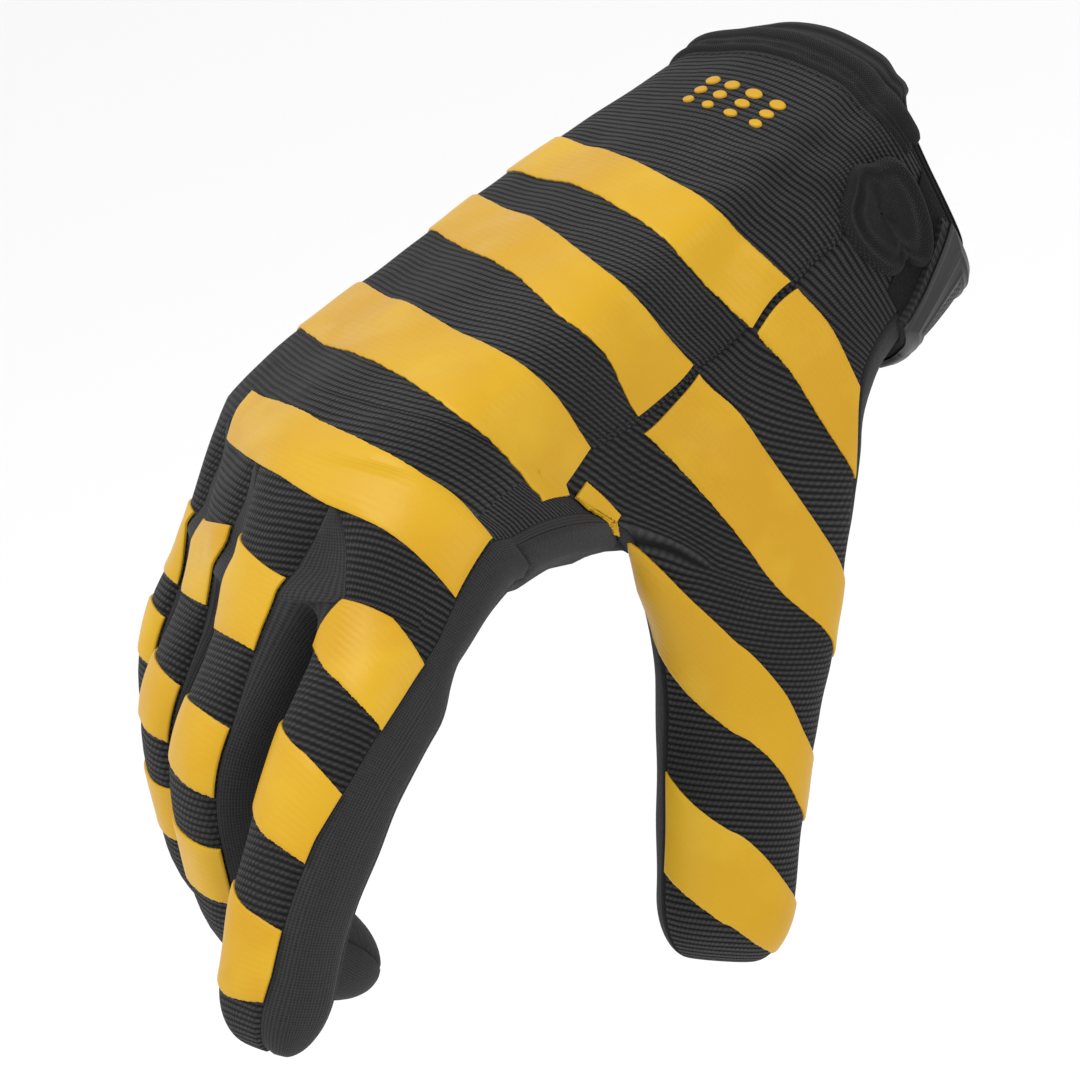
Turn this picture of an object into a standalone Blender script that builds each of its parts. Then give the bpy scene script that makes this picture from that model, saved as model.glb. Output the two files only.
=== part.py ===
"""Right-hand motocross glove in its worn shape, modelled as sewn panels.

The frame has +X towards the thumb, -Y towards the fingertips and +Z out of the back of the hand.
The origin is the centre of the wrist opening. Sizes are in millimetres and become metres in the meshes.
"""
import bpy
import bmesh
import numpy as np
from mathutils.bvhtree import BVHTree

MM = 0.001
RADIANS = np.pi / 180

# Driving sizes
PALM_LENGTH = 128.0
PALM_DEPTH = 28.0
CUFF_WIDTH = 88.0
FINGER_LENGTH = 110.0
FINGER_WIDTH = 25.0
FINGER_DEPTH = 24.0
THUMB_LENGTH = 121.0
THUMB_WIDTH = 39.0
THUMB_DEPTH = 29.0
TIP_LENGTH = 13.0
TIP_FLAT = 0.42
WALL = 1.6
FOLD_STEPS = 20
FOLD_MARGIN = 1.25
GAP_MARGIN = 1.7
CREASE_REACH = 15.0
CREASE_PASSES = 3
SEAM_GAP = 0.3
FILM = 0.45
FILM_LIFT = 0.85
BINDING_RADIUS = 1.7
CURL_LIFT = 1.3 * SEAM_GAP
BAND_WALL = 1.3
BAND_DEPTH = 13.0
BAND_RISE = 9.0
STRAP_WALL = 1.6
STRAP_LIFT = 1.3 * SEAM_GAP
BADGE_HEIGHT = 2.0

# A row for each finger. start and rise: place at the wrist, as shares of the cuff's width.
# palm: wrist to knuckle, share of the palm's length. first, second, third: bones, shares of the finger's length.
# Bends are in degrees. The last columns are shares of the finger's width and depth, at root and tip.
FINGER_COLUMNS = ("start rise yaw pitch palm splay knuckle middle_joint end_joint first second third"
                  " width tip_width depth tip_depth roll").split()
FINGERS = {
    "little": (-0.352, -0.023, -9, 4, 0.87, -2, 35, 36, 26, 0.40, 0.21, 0.22, 0.84, 0.78, 0.84, 0.68, -26),
    "ring": (-0.159, 0.011, -5, 2, 0.94, -1, 35, 43, 30, 0.46, 0.27, 0.25, 0.93, 0.82, 0.92, 0.72, -19),
    "middle": (0.023, 0.023, -1, 0, 0.99, 0, 35, 46, 42, 0.49, 0.29, 0.27, 0.97, 0.85, 0.98, 0.75, -13),
    "index": (0.193, 0.011, 4, 0, 0.96, 0, 30, 12, 12, 0.44, 0.25, 0.245, 1.00, 0.86, 1.00, 0.76, 2),
}
NAMES = list(FINGERS)
# Knuckle to finger crotch, as a share of the finger's length
CROTCH = {"little": 0.19, "ring": 0.21, "middle": 0.22, "index": 0.20}

# Thumb: start and rise as shares of the cuff's width, base as a share of the palm's length, bones as shares
# of the thumb's length, bends in degrees
THUMB = dict(start=0.307, rise=-0.068, yaw=-6, pitch=6, base=0.30, base_bend=48, splay=15, knuckle=5,
             end_joint=2, palm_bone=0.37, first=0.34, roll_at_wrist=10, roll=45, tip_width=0.68, tip_depth=0.68)

# Station 0 is the wrist opening, 1 the knuckles, 2 the finger crotches and 3 the fingertips.
THUMB_CROTCH = 0.93
# Height of the back above each finger's line, depth of the palm under it, and how far the sides stand out,
# as shares of the palm's depth
RING_COLUMNS = ("station back_little back_ring back_middle back_index palm_index palm_middle palm_ring"
                " palm_little ulnar radial").split()
RING = np.array([
    (0.00, 0.86, 1.00, 1.02, 0.96, 1.00, 1.07, 1.00, 0.71, 0.50, 0.54),
    (0.35, 0.79, 0.86, 0.88, 0.84, 0.79, 0.82, 0.79, 0.71, 0.57, 0.50),
    (0.70, 0.70, 0.75, 0.75, 0.70, 0.64, 0.68, 0.71, 0.71, 0.54, 0.48),
    (1.00, 0.59, 0.64, 0.64, 0.61, 0.59, 0.61, 0.61, 0.61, 0.48, 0.48),
    (1.50, 0.46, 0.54, 0.55, 0.54, 0.52, 0.54, 0.52, 0.50, 0.43, 0.46),
    (2.00, 0.39, 0.43, 0.45, 0.44, 0.44, 0.45, 0.43, 0.39, 0.39, 0.45),
    (3.00, 0.36, 0.39, 0.41, 0.41, 0.41, 0.41, 0.39, 0.36, 0.36, 0.43),
])
# The same for the thumb's side of the hand. lean: how far its ball leans away from the palm.
# pinch: how far the web between thumb and index is drawn in
THUMB_RING_COLUMNS = "station back palm side lean pinch".split()
THUMB_RING = np.array([
    (0.00, 0.92, 0.36, 0.34, 0.13, -0.06),
    (0.30, 0.74, 0.43, 0.47, 0.32, -0.04),
    (0.60, 0.59, 0.50, 0.61, 0.34, 0.15),
    (0.93, 0.52, 0.61, 0.64, 0.00, 0.50),
    (1.20, 0.46, 0.50, 0.61, 0.00, 0.50),
])
# The seam between the back and the thumb's panel: station, and place round the hand
SEAM = np.array([(0.0, 6.45), (0.2, 6.22), (0.27, 6.24), (0.37, 6.12), (0.46, 5.80), (0.58, 5.16),
                 (0.74, 4.82), (0.84, 4.66), (0.93, 4.50)])
PALM_EDGE = 7.0
# Shape of a finger's section, and where its strips meet at root and tip, in degrees from the thumb's side
SQUARENESS = 2.5
STRIP_ROOT = {"dorsal": (150, 32), "radial": (32, -35), "palmar": (-35, -145), "ulnar": (-145, -210)}
STRIP_TIP = {"dorsal": (145, 35), "radial": (35, -35), "palmar": (-35, -145), "ulnar": (-145, -215)}

# Places round the wrist: the slit between back and strap, the curl beside it, and what closes it
SLIT_PLACE = (6.2, 7.0)
CURL_PLACE = 6.30
CURL_STATION = 0.135
CURL_SIZE = (0.28, 0.110)
STRAP_PLACES = (6.66, 12.2)
STRAP_STATIONS = (0.02, 0.235)
BADGE_PLACES = (6.72, 8.5)
BADGE_STATIONS = (0.015, 0.24)
# How far the front edges of strap and badge slant round the wrist, in places
FRONT_SLANT = 0.42
BAND_PLACES = (0.1, 13.9)

# Printed stripes: name, surface, places across it, and the stations of the upper and lower edge at each place.
# Places on a finger run 0 to 1 across its back.
STRIPES = [
    ("back_stripe_1", "back", (0.3, 1.6, 2.8, 4.05, 5.0, 5.8), (0.265, 0.29, 0.322, 0.36, 0.366, 0.368),
     (0.36, 0.38, 0.407, 0.458, 0.464, 0.462)),
    ("back_stripe_2", "back", (0.3, 1.6, 2.8, 3.8, 4.6, 4.86), (0.455, 0.486, 0.507, 0.560, 0.60, 0.622),
     (0.565, 0.59, 0.617, 0.67, 0.70, 0.712)),
    ("back_stripe_3", "back", (0.3, 1.7, 2.8, 3.8, 4.5), (0.73, 0.735, 0.750, 0.784, 0.815),
     (0.87, 0.872, 0.868, 0.906, 0.925)),
    ("back_stripe_4", "back", (1.6, 2.4, 3.0, 3.7, 4.3), (0.97, 0.968, 0.972, 0.99, 1.02),
     (1.195, 1.195, 1.215, 1.36, 1.50)),
    ("thumb_stripe_1", "back", (6.12, 6.4, 6.7), (0.372, 0.382, 0.40), (0.462, 0.505, 0.58)),
    ("thumb_stripe_2", "back", (5.25, 5.7, 6.1, 6.6), (0.60, 0.62, 0.645, 0.80), (0.765, 0.81, 0.86, 0.915)),
    ("thumb_stripe_3", "thumb", (5.2, 5.5, 5.8, 6.15, 6.5), (0.955, 1.00, 1.08, 1.2, 1.31),
     (1.19, 1.23, 1.31, 1.39, 1.48)),
    ("thumb_stripe_4", "thumb", (5.1, 5.65, 6.1, 6.6), (1.46, 1.545, 1.60, 1.70), (1.69, 1.765, 1.83, 1.87)),
    ("index_stripe_1", "index", (0.04, 0.5, 0.96), (2.0, 1.995, 2.03), (2.16, 2.14, 2.19)),
    ("index_stripe_2", "index", (0.04, 0.5, 0.96), (2.27, 2.30, 2.35), (2.44, 2.47, 2.53)),
    ("index_stripe_3", "index", (0.06, 0.5, 0.94), (2.59, 2.63, 2.68), (2.75, 2.80, 2.85)),
    ("middle_stripe_1", "back", (2.6, 3.0, 3.38), (1.70, 1.73, 1.80), (1.93, 1.93, 1.93)),
    ("middle_stripe_2", "middle", (0.04, 0.5, 0.96), (2.2, 2.2, 2.25), (2.37, 2.37, 2.37)),
    ("middle_stripe_3", "middle", (0.06, 0.5, 0.94), (2.50, 2.50, 2.50), (2.66, 2.66, 2.66)),
    ("ring_stripe_1", "back", (1.6, 2.0, 2.38), (1.70, 1.73, 1.80), (1.93, 1.93, 1.93)),
    ("ring_stripe_2", "ring", (0.04, 0.5, 0.96), (2.2, 2.2, 2.25), (2.36, 2.36, 2.36)),
    ("ring_stripe_3", "ring", (0.06, 0.5, 0.94), (2.44, 2.44, 2.44), (2.58, 2.58, 2.58)),
    ("little_stripe_1", "back", (0.6, 1.0, 1.38), (1.74, 1.76, 1.80), (1.94, 1.94, 1.94)),
    ("little_stripe_2", "little", (0.04, 0.5, 0.96), (2.22, 2.22, 2.24), (2.36, 2.36, 2.36)),
]


def ease(low, high, value):
    """0 below low, 1 above high, and a smooth step between."""
    t = np.clip((value - low) / (high - low), 0, 1)
    return t * t * (3 - 2 * t)


def smooth_table(x, knots, values):
    """A smooth curve through the knots of a table."""
    slopes = np.gradient(values, knots)
    x = np.clip(x, knots[0], knots[-1])
    k = np.clip(np.searchsorted(knots, x, side="right") - 1, 0, len(knots) - 2)
    h = knots[k + 1] - knots[k]
    t = (x - knots[k]) / h
    rise = t * t * (3 - 2 * t)
    return ((1 - rise) * values[k] + rise * values[k + 1]
            + t * (1 - t) ** 2 * h * slopes[k] - t * t * (1 - t) * h * slopes[k + 1])


class Line:
    """The line down the middle of a digit: its heading turns at each joint, and the line sums the heading."""

    def __init__(self, start, yaw, pitch, bends, length, roll_at, roll):
        s = np.linspace(0, length * 1.2, 600)
        yaw = np.full(s.size, float(yaw))
        pitch = np.full(s.size, float(pitch))
        for at, turn_down, turn_out, reach in bends:
            share = ease(at - reach, at + reach, s)
            pitch += turn_down * share
            yaw += turn_out * share
        yaw, pitch = yaw * RADIANS, pitch * RADIANS
        forward = np.stack([np.sin(yaw) * np.cos(pitch), -np.cos(yaw) * np.cos(pitch), -np.sin(pitch)], 1)
        out = np.stack([np.sin(yaw) * np.sin(pitch), -np.cos(yaw) * np.sin(pitch), np.cos(pitch)], 1)
        side = np.cross(out, forward)
        turn = np.interp(s, roll_at, roll) * RADIANS
        cos, sin = np.cos(turn)[:, None], np.sin(turn)[:, None]
        step = (forward[1:] + forward[:-1]) / 2 * (s[1] - s[0])
        self.s = s
        self.length = length
        self.place = np.array(start) + np.vstack([np.zeros(3), np.cumsum(step, 0)])
        self.out = out * cos + side * sin
        self.side = side * cos - out * sin

    def at(self, s):
        """Place, outward direction and sideways direction at a length along the line."""
        return [np.stack([np.interp(s, self.s, a[:, k]) for k in range(3)], -1)
                for a in (self.place, self.out, self.side)]


def finger_line(name):
    """The line and the measures of one finger."""
    f = dict(zip(FINGER_COLUMNS, FINGERS[name]))
    knuckle = f["palm"] * PALM_LENGTH
    first, second, third = (f[key] * FINGER_LENGTH for key in ("first", "second", "third"))
    length = knuckle + first + second + third
    bends = [(knuckle, f["knuckle"], f["splay"], 0.145 * FINGER_LENGTH),
             (knuckle + first, f["middle_joint"], 0, 0.10 * FINGER_LENGTH),
             (knuckle + first + second, f["end_joint"], 0, 0.082 * FINGER_LENGTH)]
    start = (f["start"] * CUFF_WIDTH, 0, f["rise"] * CUFF_WIDTH)
    line = Line(start, f["yaw"], f["pitch"], bends, length,
                (0, 0.4 * knuckle, knuckle, length), (0, 0.5 * f["roll"], f["roll"], f["roll"]))
    return line, dict(knuckle=knuckle, crotch=knuckle + CROTCH[name] * FINGER_LENGTH,
                      width=f["width"] * FINGER_WIDTH, tip_width=f["tip_width"] * FINGER_WIDTH,
                      depth=f["depth"] * FINGER_DEPTH, tip_depth=f["tip_depth"] * FINGER_DEPTH)


def thumb_line():
    """The line and the measures of the thumb."""
    base = THUMB["base"] * PALM_LENGTH
    palm_bone, first = THUMB["palm_bone"] * THUMB_LENGTH, THUMB["first"] * THUMB_LENGTH
    length = base + THUMB_LENGTH
    bends = [(base, THUMB["base_bend"], THUMB["splay"], 0.20 * THUMB_LENGTH),
             (base + palm_bone, THUMB["knuckle"], 0, 0.10 * THUMB_LENGTH),
             (base + palm_bone + first, THUMB["end_joint"], 0, 0.08 * THUMB_LENGTH)]
    start = (THUMB["start"] * CUFF_WIDTH, 0, THUMB["rise"] * CUFF_WIDTH)
    roll = THUMB["roll_at_wrist"]
    line = Line(start, THUMB["yaw"], THUMB["pitch"], bends, length,
                (0, base, base + palm_bone, length), (roll, roll * 2, THUMB["roll"], THUMB["roll"]))
    return line, dict(crotch=base + 0.98 * palm_bone, width=THUMB_WIDTH, tip_width=THUMB["tip_width"] * THUMB_WIDTH,
                      depth=THUMB_DEPTH, tip_depth=THUMB["tip_depth"] * THUMB_DEPTH)


LINES = {name: finger_line(name) for name in NAMES}
LINES["thumb"] = thumb_line()


def length_at(name, station):
    """Length along a digit's line at a station."""
    line, size = LINES[name]
    if name == "thumb":
        return station / THUMB_CROTCH * size["crotch"]
    stops = (size["knuckle"], size["crotch"], line.length)
    return np.interp(station, (0, 1, 2, 3), (0,) + stops)


def ring_column(name, station):
    k = RING_COLUMNS.index(name)
    return (smooth_table(station, RING[:, 0], RING[:, k]) * PALM_DEPTH)[..., None]


def thumb_column(name, station):
    k = THUMB_RING_COLUMNS.index(name)
    return smooth_table(station, THUMB_RING[:, 0], THUMB_RING[:, k])[..., None]


def ring_points(station, with_thumb):
    """The points that a section of the hand passes through: ulnar side, four on the back, the thumb's side,
    and four on the palm."""
    back, palm = [], []
    for name in NAMES:
        place, out, side = LINES[name][0].at(length_at(name, station))
        back.append(place + out * ring_column("back_" + name, station))
        palm.insert(0, place - out * ring_column("palm_" + name, station))
        if name == "little":
            ulnar = place - side * ring_column("ulnar", station)
        if name == "index":
            radial = place + side * ring_column("radial", station)
    if not with_thumb:
        return np.stack([ulnar, *back, radial, *palm], -2)
    place, out, side = LINES["thumb"][0].at(length_at("thumb", station))
    thumb_back = place + out * thumb_column("back", station) * PALM_DEPTH
    thumb_palm = place + (side * thumb_column("lean", station) - out * thumb_column("palm", station)) * PALM_DEPTH
    thumb_side = place + side * thumb_column("side", station) * PALM_DEPTH
    middle = (back[3] + thumb_back + palm[0] + thumb_palm) / 4
    draw = 1 - thumb_column("pinch", station)
    web_back = middle + ((back[3] + thumb_back) / 2 - middle) * draw
    web_palm = middle + ((palm[0] + thumb_palm) / 2 - middle) * draw
    return np.stack([ulnar, *back, web_back, thumb_back, thumb_side, thumb_palm, web_palm, *palm], -2)


def trunk(place, station, with_thumb):
    """A point of the hand before its digits part: a closed smooth curve through the ring's points."""
    place, station = np.broadcast_arrays(np.asarray(place, float), np.asarray(station, float))
    points = ring_points(station, with_thumb)
    k = np.floor(place).astype(int)
    t = (place - k)[..., None]

    def point(step):
        pick = np.mod(k + step, points.shape[-2])[..., None, None]
        return np.take_along_axis(points, pick, -2)[..., 0, :]

    a, b, c, d = point(-1), point(0), point(1), point(2)
    return 0.5 * (2 * b + (c - a) * t + (2 * a - 5 * b + 4 * c - d) * t ** 2 + (3 * b - a - 3 * c + d) * t ** 3)


def section(name, s, angle):
    """A point of a digit's own section: a squared oval, drawn to a short line at the fingertip."""
    line, size = LINES[name]
    place, out, side = line.at(s)
    t = np.clip((s - size["crotch"]) / (line.length - size["crotch"]), 0, 1)
    taper = 1 - (1 - t) ** 2 if name == "thumb" else t * t * (3 - 2 * t)
    half_width = (size["width"] + (size["tip_width"] - size["width"]) * taper) / 2
    half_depth = (size["depth"] + (size["tip_depth"] - size["depth"]) * taper) / 2
    end = np.clip((s - (line.length - TIP_LENGTH)) / TIP_LENGTH, 0, 1)
    end = np.sqrt(1 - end ** 2)
    cos, sin = np.cos(angle), np.sin(angle)
    across = np.sign(cos) * np.abs(cos) ** (2 / SQUARENESS) * half_width * (TIP_FLAT + (1 - TIP_FLAT) * end)
    up = np.sign(sin) * np.abs(sin) ** (2 / SQUARENESS) * half_depth * end
    return place + side * across[..., None] + out * up[..., None]


def parting(station, start, reach, nearness):
    """How far a digit has left the hand: at once at its sides, in a round crotch, and slowly along its middle."""
    t = np.clip((station - start) / reach, 0, 1)
    at_side = np.sqrt(1 - (1 - t) ** 2)
    along_middle = t * t * (3 - 2 * t)
    return (along_middle + (at_side - along_middle) * nearness)[..., None]


FINGER_PARTING = 0.16
THUMB_PARTING = 0.30
HAND_PARTING = 0.17


def finger(name, strip, v, station):
    """A point of a finger past its crotch. v runs across the strip, round the finger from the ulnar side."""
    v, station = np.broadcast_arrays(np.asarray(v, float), np.asarray(station, float))
    j = NAMES.index(name)
    tip = np.clip(station - 2, 0, 1)
    start, end = (STRIP_ROOT[strip][k] + (STRIP_TIP[strip][k] - STRIP_ROOT[strip][k]) * tip for k in (0, 1))
    own = section(name, length_at(name, station), (start + (end - start) * v) * RADIANS)
    corners = {"dorsal": j + 0.5, "radial": j + 1.5, "palmar": 8.5 - j, "ulnar": 9.5 - j}
    outer = (strip, j) in (("radial", 3), ("ulnar", 0))
    if strip in ("dorsal", "palmar") or outer:
        hand_side = trunk(corners[strip] + v, station, False)
    else:
        far = {"radial": "palmar", "ulnar": "dorsal"}[strip]
        a, b = (trunk(corners[key], station, False) for key in (strip, far))
        hand_side = a + (b - a) * v[..., None]
    nearness = np.ones_like(v)
    if strip in ("dorsal", "palmar"):
        nearness = (2 * v - 1) ** 2
        free_end = {("dorsal", 0): v < 0.5, ("palmar", 0): v > 0.5, ("dorsal", 3): v > 0.5, ("palmar", 3): v < 0.5}
        nearness = np.where(free_end.get((strip, j), False), 0, nearness)
    elif outer:
        nearness = np.zeros_like(v)
    share = parting(station, 2, FINGER_PARTING, nearness)
    return hand_side * (1 - share) + own * share


WEB_SHARE = 0.32


def web_curve(v, station):
    """Across the thumb's crotch on the index side: over the back's edge, down the web and onto the palm."""
    over_back = trunk(4.5 + np.clip(v / WEB_SHARE, 0, 1) / 2, station, True)
    over_palm = trunk(9 + np.clip((v - 1 + WEB_SHARE) / WEB_SHARE, 0, 1) / 2, station, True)
    down = np.clip((v - WEB_SHARE) / (1 - 2 * WEB_SHARE), 0, 1)[..., None]
    web = trunk(5, station, True) * (1 - down) + trunk(9, station, True) * down
    v = v[..., None]
    return np.where(v < WEB_SHARE, over_back, np.where(v > 1 - WEB_SHARE, over_palm, web))


def hand(place, station):
    """A point of the hand between the thumb's crotch and the finger crotches; places run 0 to 10."""
    place, station = np.broadcast_arrays(np.asarray(place, float), np.asarray(station, float))
    place = np.mod(place, 10)
    own = trunk(place, station, False)
    v = place - 4.5
    wall = (v > 0) & (v < 1)
    before = trunk(np.where(place <= 4.5, place, place + 4), station, True)
    before = np.where(wall[..., None], web_curve(np.clip(v, 0, 1), station), before)
    nearness = np.where(place <= 4.5, np.clip(place - 3.5, 0, 1), np.clip(6.5 - place, 0, 1)) ** 2
    share = parting(station, THUMB_CROTCH, HAND_PARTING, np.where(wall, 1, nearness))
    return before * (1 - share) + own * share


def thumb(place, station):
    """A point of the thumb past its crotch; places run 5 to 9 round its outside and 9 to 10 up its inside.
    The station goes on from the crotch, and the tip is one further."""
    place, station = np.broadcast_arrays(np.asarray(place, float), np.asarray(station, float))
    line, size = LINES["thumb"]
    along = station - THUMB_CROTCH
    s = size["crotch"] + (line.length - size["crotch"]) * along
    angle = np.where(place <= 9, 155 - (place - 5) * 77.5, -155 - (place - 9) * 50) * RADIANS
    own = section("thumb", s, angle)
    still = np.minimum(THUMB_CROTCH * s / size["crotch"], THUMB_CROTCH + 0.25)
    inside = np.clip(place - 9, 0, 1)[..., None]
    web = trunk(9, still, True) * (1 - inside) + trunk(5, still, True) * inside
    hand_side = np.where(place[..., None] > 9, web, trunk(np.minimum(place, 9), still, True))
    nearness = np.clip(1 - np.minimum(np.abs(place - 5), np.abs(place - 9)), 0, 1) ** 2
    share = parting(along, 0, THUMB_PARTING, np.where(place > 9, 1, nearness))
    return hand_side * (1 - share) + own * share


def seam_place(station):
    """Where the seam between the back and the thumb's panel lies."""
    return np.interp(station, SEAM[:, 0], SEAM[:, 1])


def back_surface(c, station):
    """The back of the hand: c runs 0 to 1 from the ulnar side to the seam with the thumb's panel."""
    c, station = np.broadcast_arrays(np.asarray(c, float), np.asarray(station, float))
    before = trunk(c * seam_place(station), station, True)
    after = hand(c * 4.5, np.maximum(station, THUMB_CROTCH))
    return np.where((station < THUMB_CROTCH)[..., None], before, after)


def thumb_back_surface(c, station):
    """The back of the thumb's panel: c runs 0 to 1 from the seam to the edge of the palm."""
    c, station = np.broadcast_arrays(np.asarray(c, float), np.asarray(station, float))
    seam = seam_place(station)
    before = trunk(seam + (PALM_EDGE - seam) * c, station, True)
    after = thumb(4.5 + (PALM_EDGE - 4.5) * np.maximum(c, 0.2), np.maximum(station, THUMB_CROTCH))
    return np.where((station <= THUMB_CROTCH)[..., None], before, after)


def spaced(low, high, count):
    return np.linspace(low, high, count)


def round_crotch(start, reach, count):
    """Stations past a crotch, close together where the sides leave the hand steeply."""
    return start + reach * (1 - np.cos(spaced(0, np.pi / 2, count)))


PALM_STATIONS = spaced(0, THUMB_CROTCH, 11)
KNUCKLE_STATIONS = np.concatenate([round_crotch(THUMB_CROTCH, HAND_PARTING, 4), spaced(1.1, 2, 7)[1:]])
FINGER_STATIONS = np.concatenate([round_crotch(2, FINGER_PARTING, 4), 2.16 + 0.84 * np.sin(spaced(0, np.pi / 2, 8))[1:]])
THUMB_STATIONS = THUMB_CROTCH + np.concatenate([round_crotch(0, THUMB_PARTING, 5),
                                                0.3 + 0.7 * np.sin(spaced(0, np.pi / 2, 8))[1:]])
WALL_COLUMNS = np.array([0, WEB_SHARE, 0.5, 1 - WEB_SHARE, 1])
SADDLE_ROW = 3
SADDLE_STATION = KNUCKLE_STATIONS[SADDLE_ROW]


def glove_grids():
    """Every stretch of the glove's outer surface as a grid of points, with the panel that it belongs to."""
    grids = []

    def add(panel, points):
        grids.append((panel, points))

    def mesh(columns, stations):
        return np.meshgrid(columns, stations, indexing="ij")

    c, q = mesh(spaced(0, 1, 19), PALM_STATIONS)
    add("back_panel", back_surface(c, q))
    c, q = mesh(spaced(0, 1, 19), KNUCKLE_STATIONS)
    add("back_panel", back_surface(c, q))
    c, q = mesh(np.concatenate([[0], spaced(0.2, 1, 9)]), PALM_STATIONS)
    add("thumb_back_panel", thumb_back_surface(c, q))
    u, q = mesh(spaced(5, PALM_EDGE, 9), THUMB_STATIONS)
    add("thumb_back_panel", thumb(u, q))
    u, q = mesh(spaced(PALM_EDGE, 9, 9), THUMB_STATIONS)
    add("thumb_palm_panel", thumb(u, q))
    u, q = mesh(spaced(9, 10, 3), THUMB_STATIONS)
    add("thumb_palm_panel", thumb(u, q))
    u, q = mesh(np.concatenate([spaced(PALM_EDGE, 9, 9), spaced(9.5, 14, 19)]), PALM_STATIONS)
    add("palm_panel", trunk(u, q, True))
    u, q = mesh(np.concatenate([spaced(5.5, 9.5, 17), [9.75, 10 - 1e-9]]), KNUCKLE_STATIONS)
    add("palm_panel", hand(u, q))
    saddle = KNUCKLE_STATIONS[KNUCKLE_STATIONS <= SADDLE_STATION]
    side = KNUCKLE_STATIONS[KNUCKLE_STATIONS >= SADDLE_STATION]
    v, q = mesh(WALL_COLUMNS[1:], saddle)
    add("palm_panel", hand(4.5 + v, q))
    v, q = mesh(WALL_COLUMNS[:2], saddle)
    add("index_side_panel", hand(4.5 + v, q))
    v, q = mesh(WALL_COLUMNS, side)
    add("index_side_panel", hand(4.5 + v, q))
    joins = ("fourchette_little_ring", "fourchette_ring_middle", "fourchette_middle_index")
    for j, name in enumerate(NAMES):
        v, q = mesh(spaced(0, 1, 5), FINGER_STATIONS)
        add("back_panel", finger(name, "dorsal", v, q))
        add("palm_panel", finger(name, "palmar", v, q))
        v, q = mesh(WALL_COLUMNS if j == 3 else spaced(0, 1, 4), FINGER_STATIONS)
        add(joins[j] if j < 3 else "index_side_panel", finger(name, "radial", v, q))
        v, q = mesh(spaced(0, 1, 5) if j == 0 else spaced(0, 1, 4), FINGER_STATIONS)
        add(joins[j - 1] if j > 0 else "little_side_panel", finger(name, "ulnar", v, q))
    return grids


# Colours, roughness and metallic value of each finish
FINISHES = {
    "knit": ((0.030, 0.030, 0.032), 0.85),
    "suede": ((0.040, 0.040, 0.042), 0.95),
    "stretch": ((0.038, 0.038, 0.040), 0.80),
    "film": ((0.750, 0.460, 0.045), 0.45),
    "rubber": ((0.022, 0.022, 0.023), 0.45),
    "binding": ((0.034, 0.034, 0.036), 0.80),
    "elastic": ((0.028, 0.028, 0.030), 0.85),
    "hook": ((0.010, 0.010, 0.010), 0.95),
}


def material(name):
    found = bpy.data.materials.get(name)
    if found:
        return found
    colour, roughness = FINISHES[name]
    made = bpy.data.materials.new(name)
    made.use_nodes = True
    shader = made.node_tree.nodes["Principled BSDF"]
    shader.inputs["Base Color"].default_value = (*colour, 1)
    shader.inputs["Roughness"].default_value = roughness
    shader.inputs["Metallic"].default_value = 0
    return made


def make_object(name, points, faces, finish):
    """A mesh object from points in millimetres and faces that point out."""
    mesh = bpy.data.meshes.new(name)
    mesh.from_pydata((np.asarray(points) * MM).tolist(), [], faces)
    mesh.update()
    mesh.shade_smooth()
    mesh.set_sharp_from_angle(angle=40 * RADIANS)
    made = bpy.data.objects.new(name, mesh)
    bpy.context.scene.collection.objects.link(made)
    mesh.materials.append(material(finish))
    return made


def face_fingertips_forward(points, normals):
    """Points on a fingertip's end line face straight ahead, so that the wall stays whole there."""
    for line, _ in LINES.values():
        place, out, side = line.at(line.length)
        forward = np.cross(side, out)
        away = points - place
        on_line = (np.abs(away @ forward) < 0.05) & (np.linalg.norm(away, axis=1) < THUMB_WIDTH / 2)
        normals[on_line] = forward


def fairest_normal(normal, around):
    """A direction that leans as little as it can from each of the faces around a point, and its worst lean."""
    for step in spaced(0.3, 0.02, 24):
        worst = (around @ normal).argmin()
        if around[worst] @ normal > 0.8:
            break
        normal = normal + around[worst] * step
        normal = normal / np.linalg.norm(normal)
    return normal, (around @ normal).min()


def thin_tight_folds(points, normals, depth, faces):
    """Wall depths, made smaller step by step where the wall's inside would run through itself in a fold."""
    outer = BVHTree.FromPolygons(points.tolist(), faces)
    for _ in range(FOLD_STEPS):
        inner = BVHTree.FromPolygons((points - normals * depth[:, None] * FOLD_MARGIN).tolist(), faces)
        crossing = [pair for pair in inner.overlap(inner) if not set(faces[pair[0]]) & set(faces[pair[1]])]
        crossing += inner.overlap(outer)
        tight = sorted({k for a, b in crossing for face in (faces[a], faces[b]) for k in face})
        if not tight:
            break
        depth[tight] *= 0.85
    return depth


def soften_thumb_crease(bm):
    """Evens out the palm's side of the crease between the thumb and the palm, which would else fold."""
    crease = trunk(9, spaced(0.14, THUMB_CROTCH, 12), True)
    near = []
    for v in bm.verts:
        away = np.linalg.norm(crease - np.array(v.co), axis=1).min()
        if away < CREASE_REACH and v.normal.z < 0.35 and not v.is_boundary:
            near.append(v)
    for _ in range(CREASE_PASSES):
        bmesh.ops.smooth_vert(bm, verts=near, factor=0.5, use_axis_x=True, use_axis_y=True, use_axis_z=True)


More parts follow.
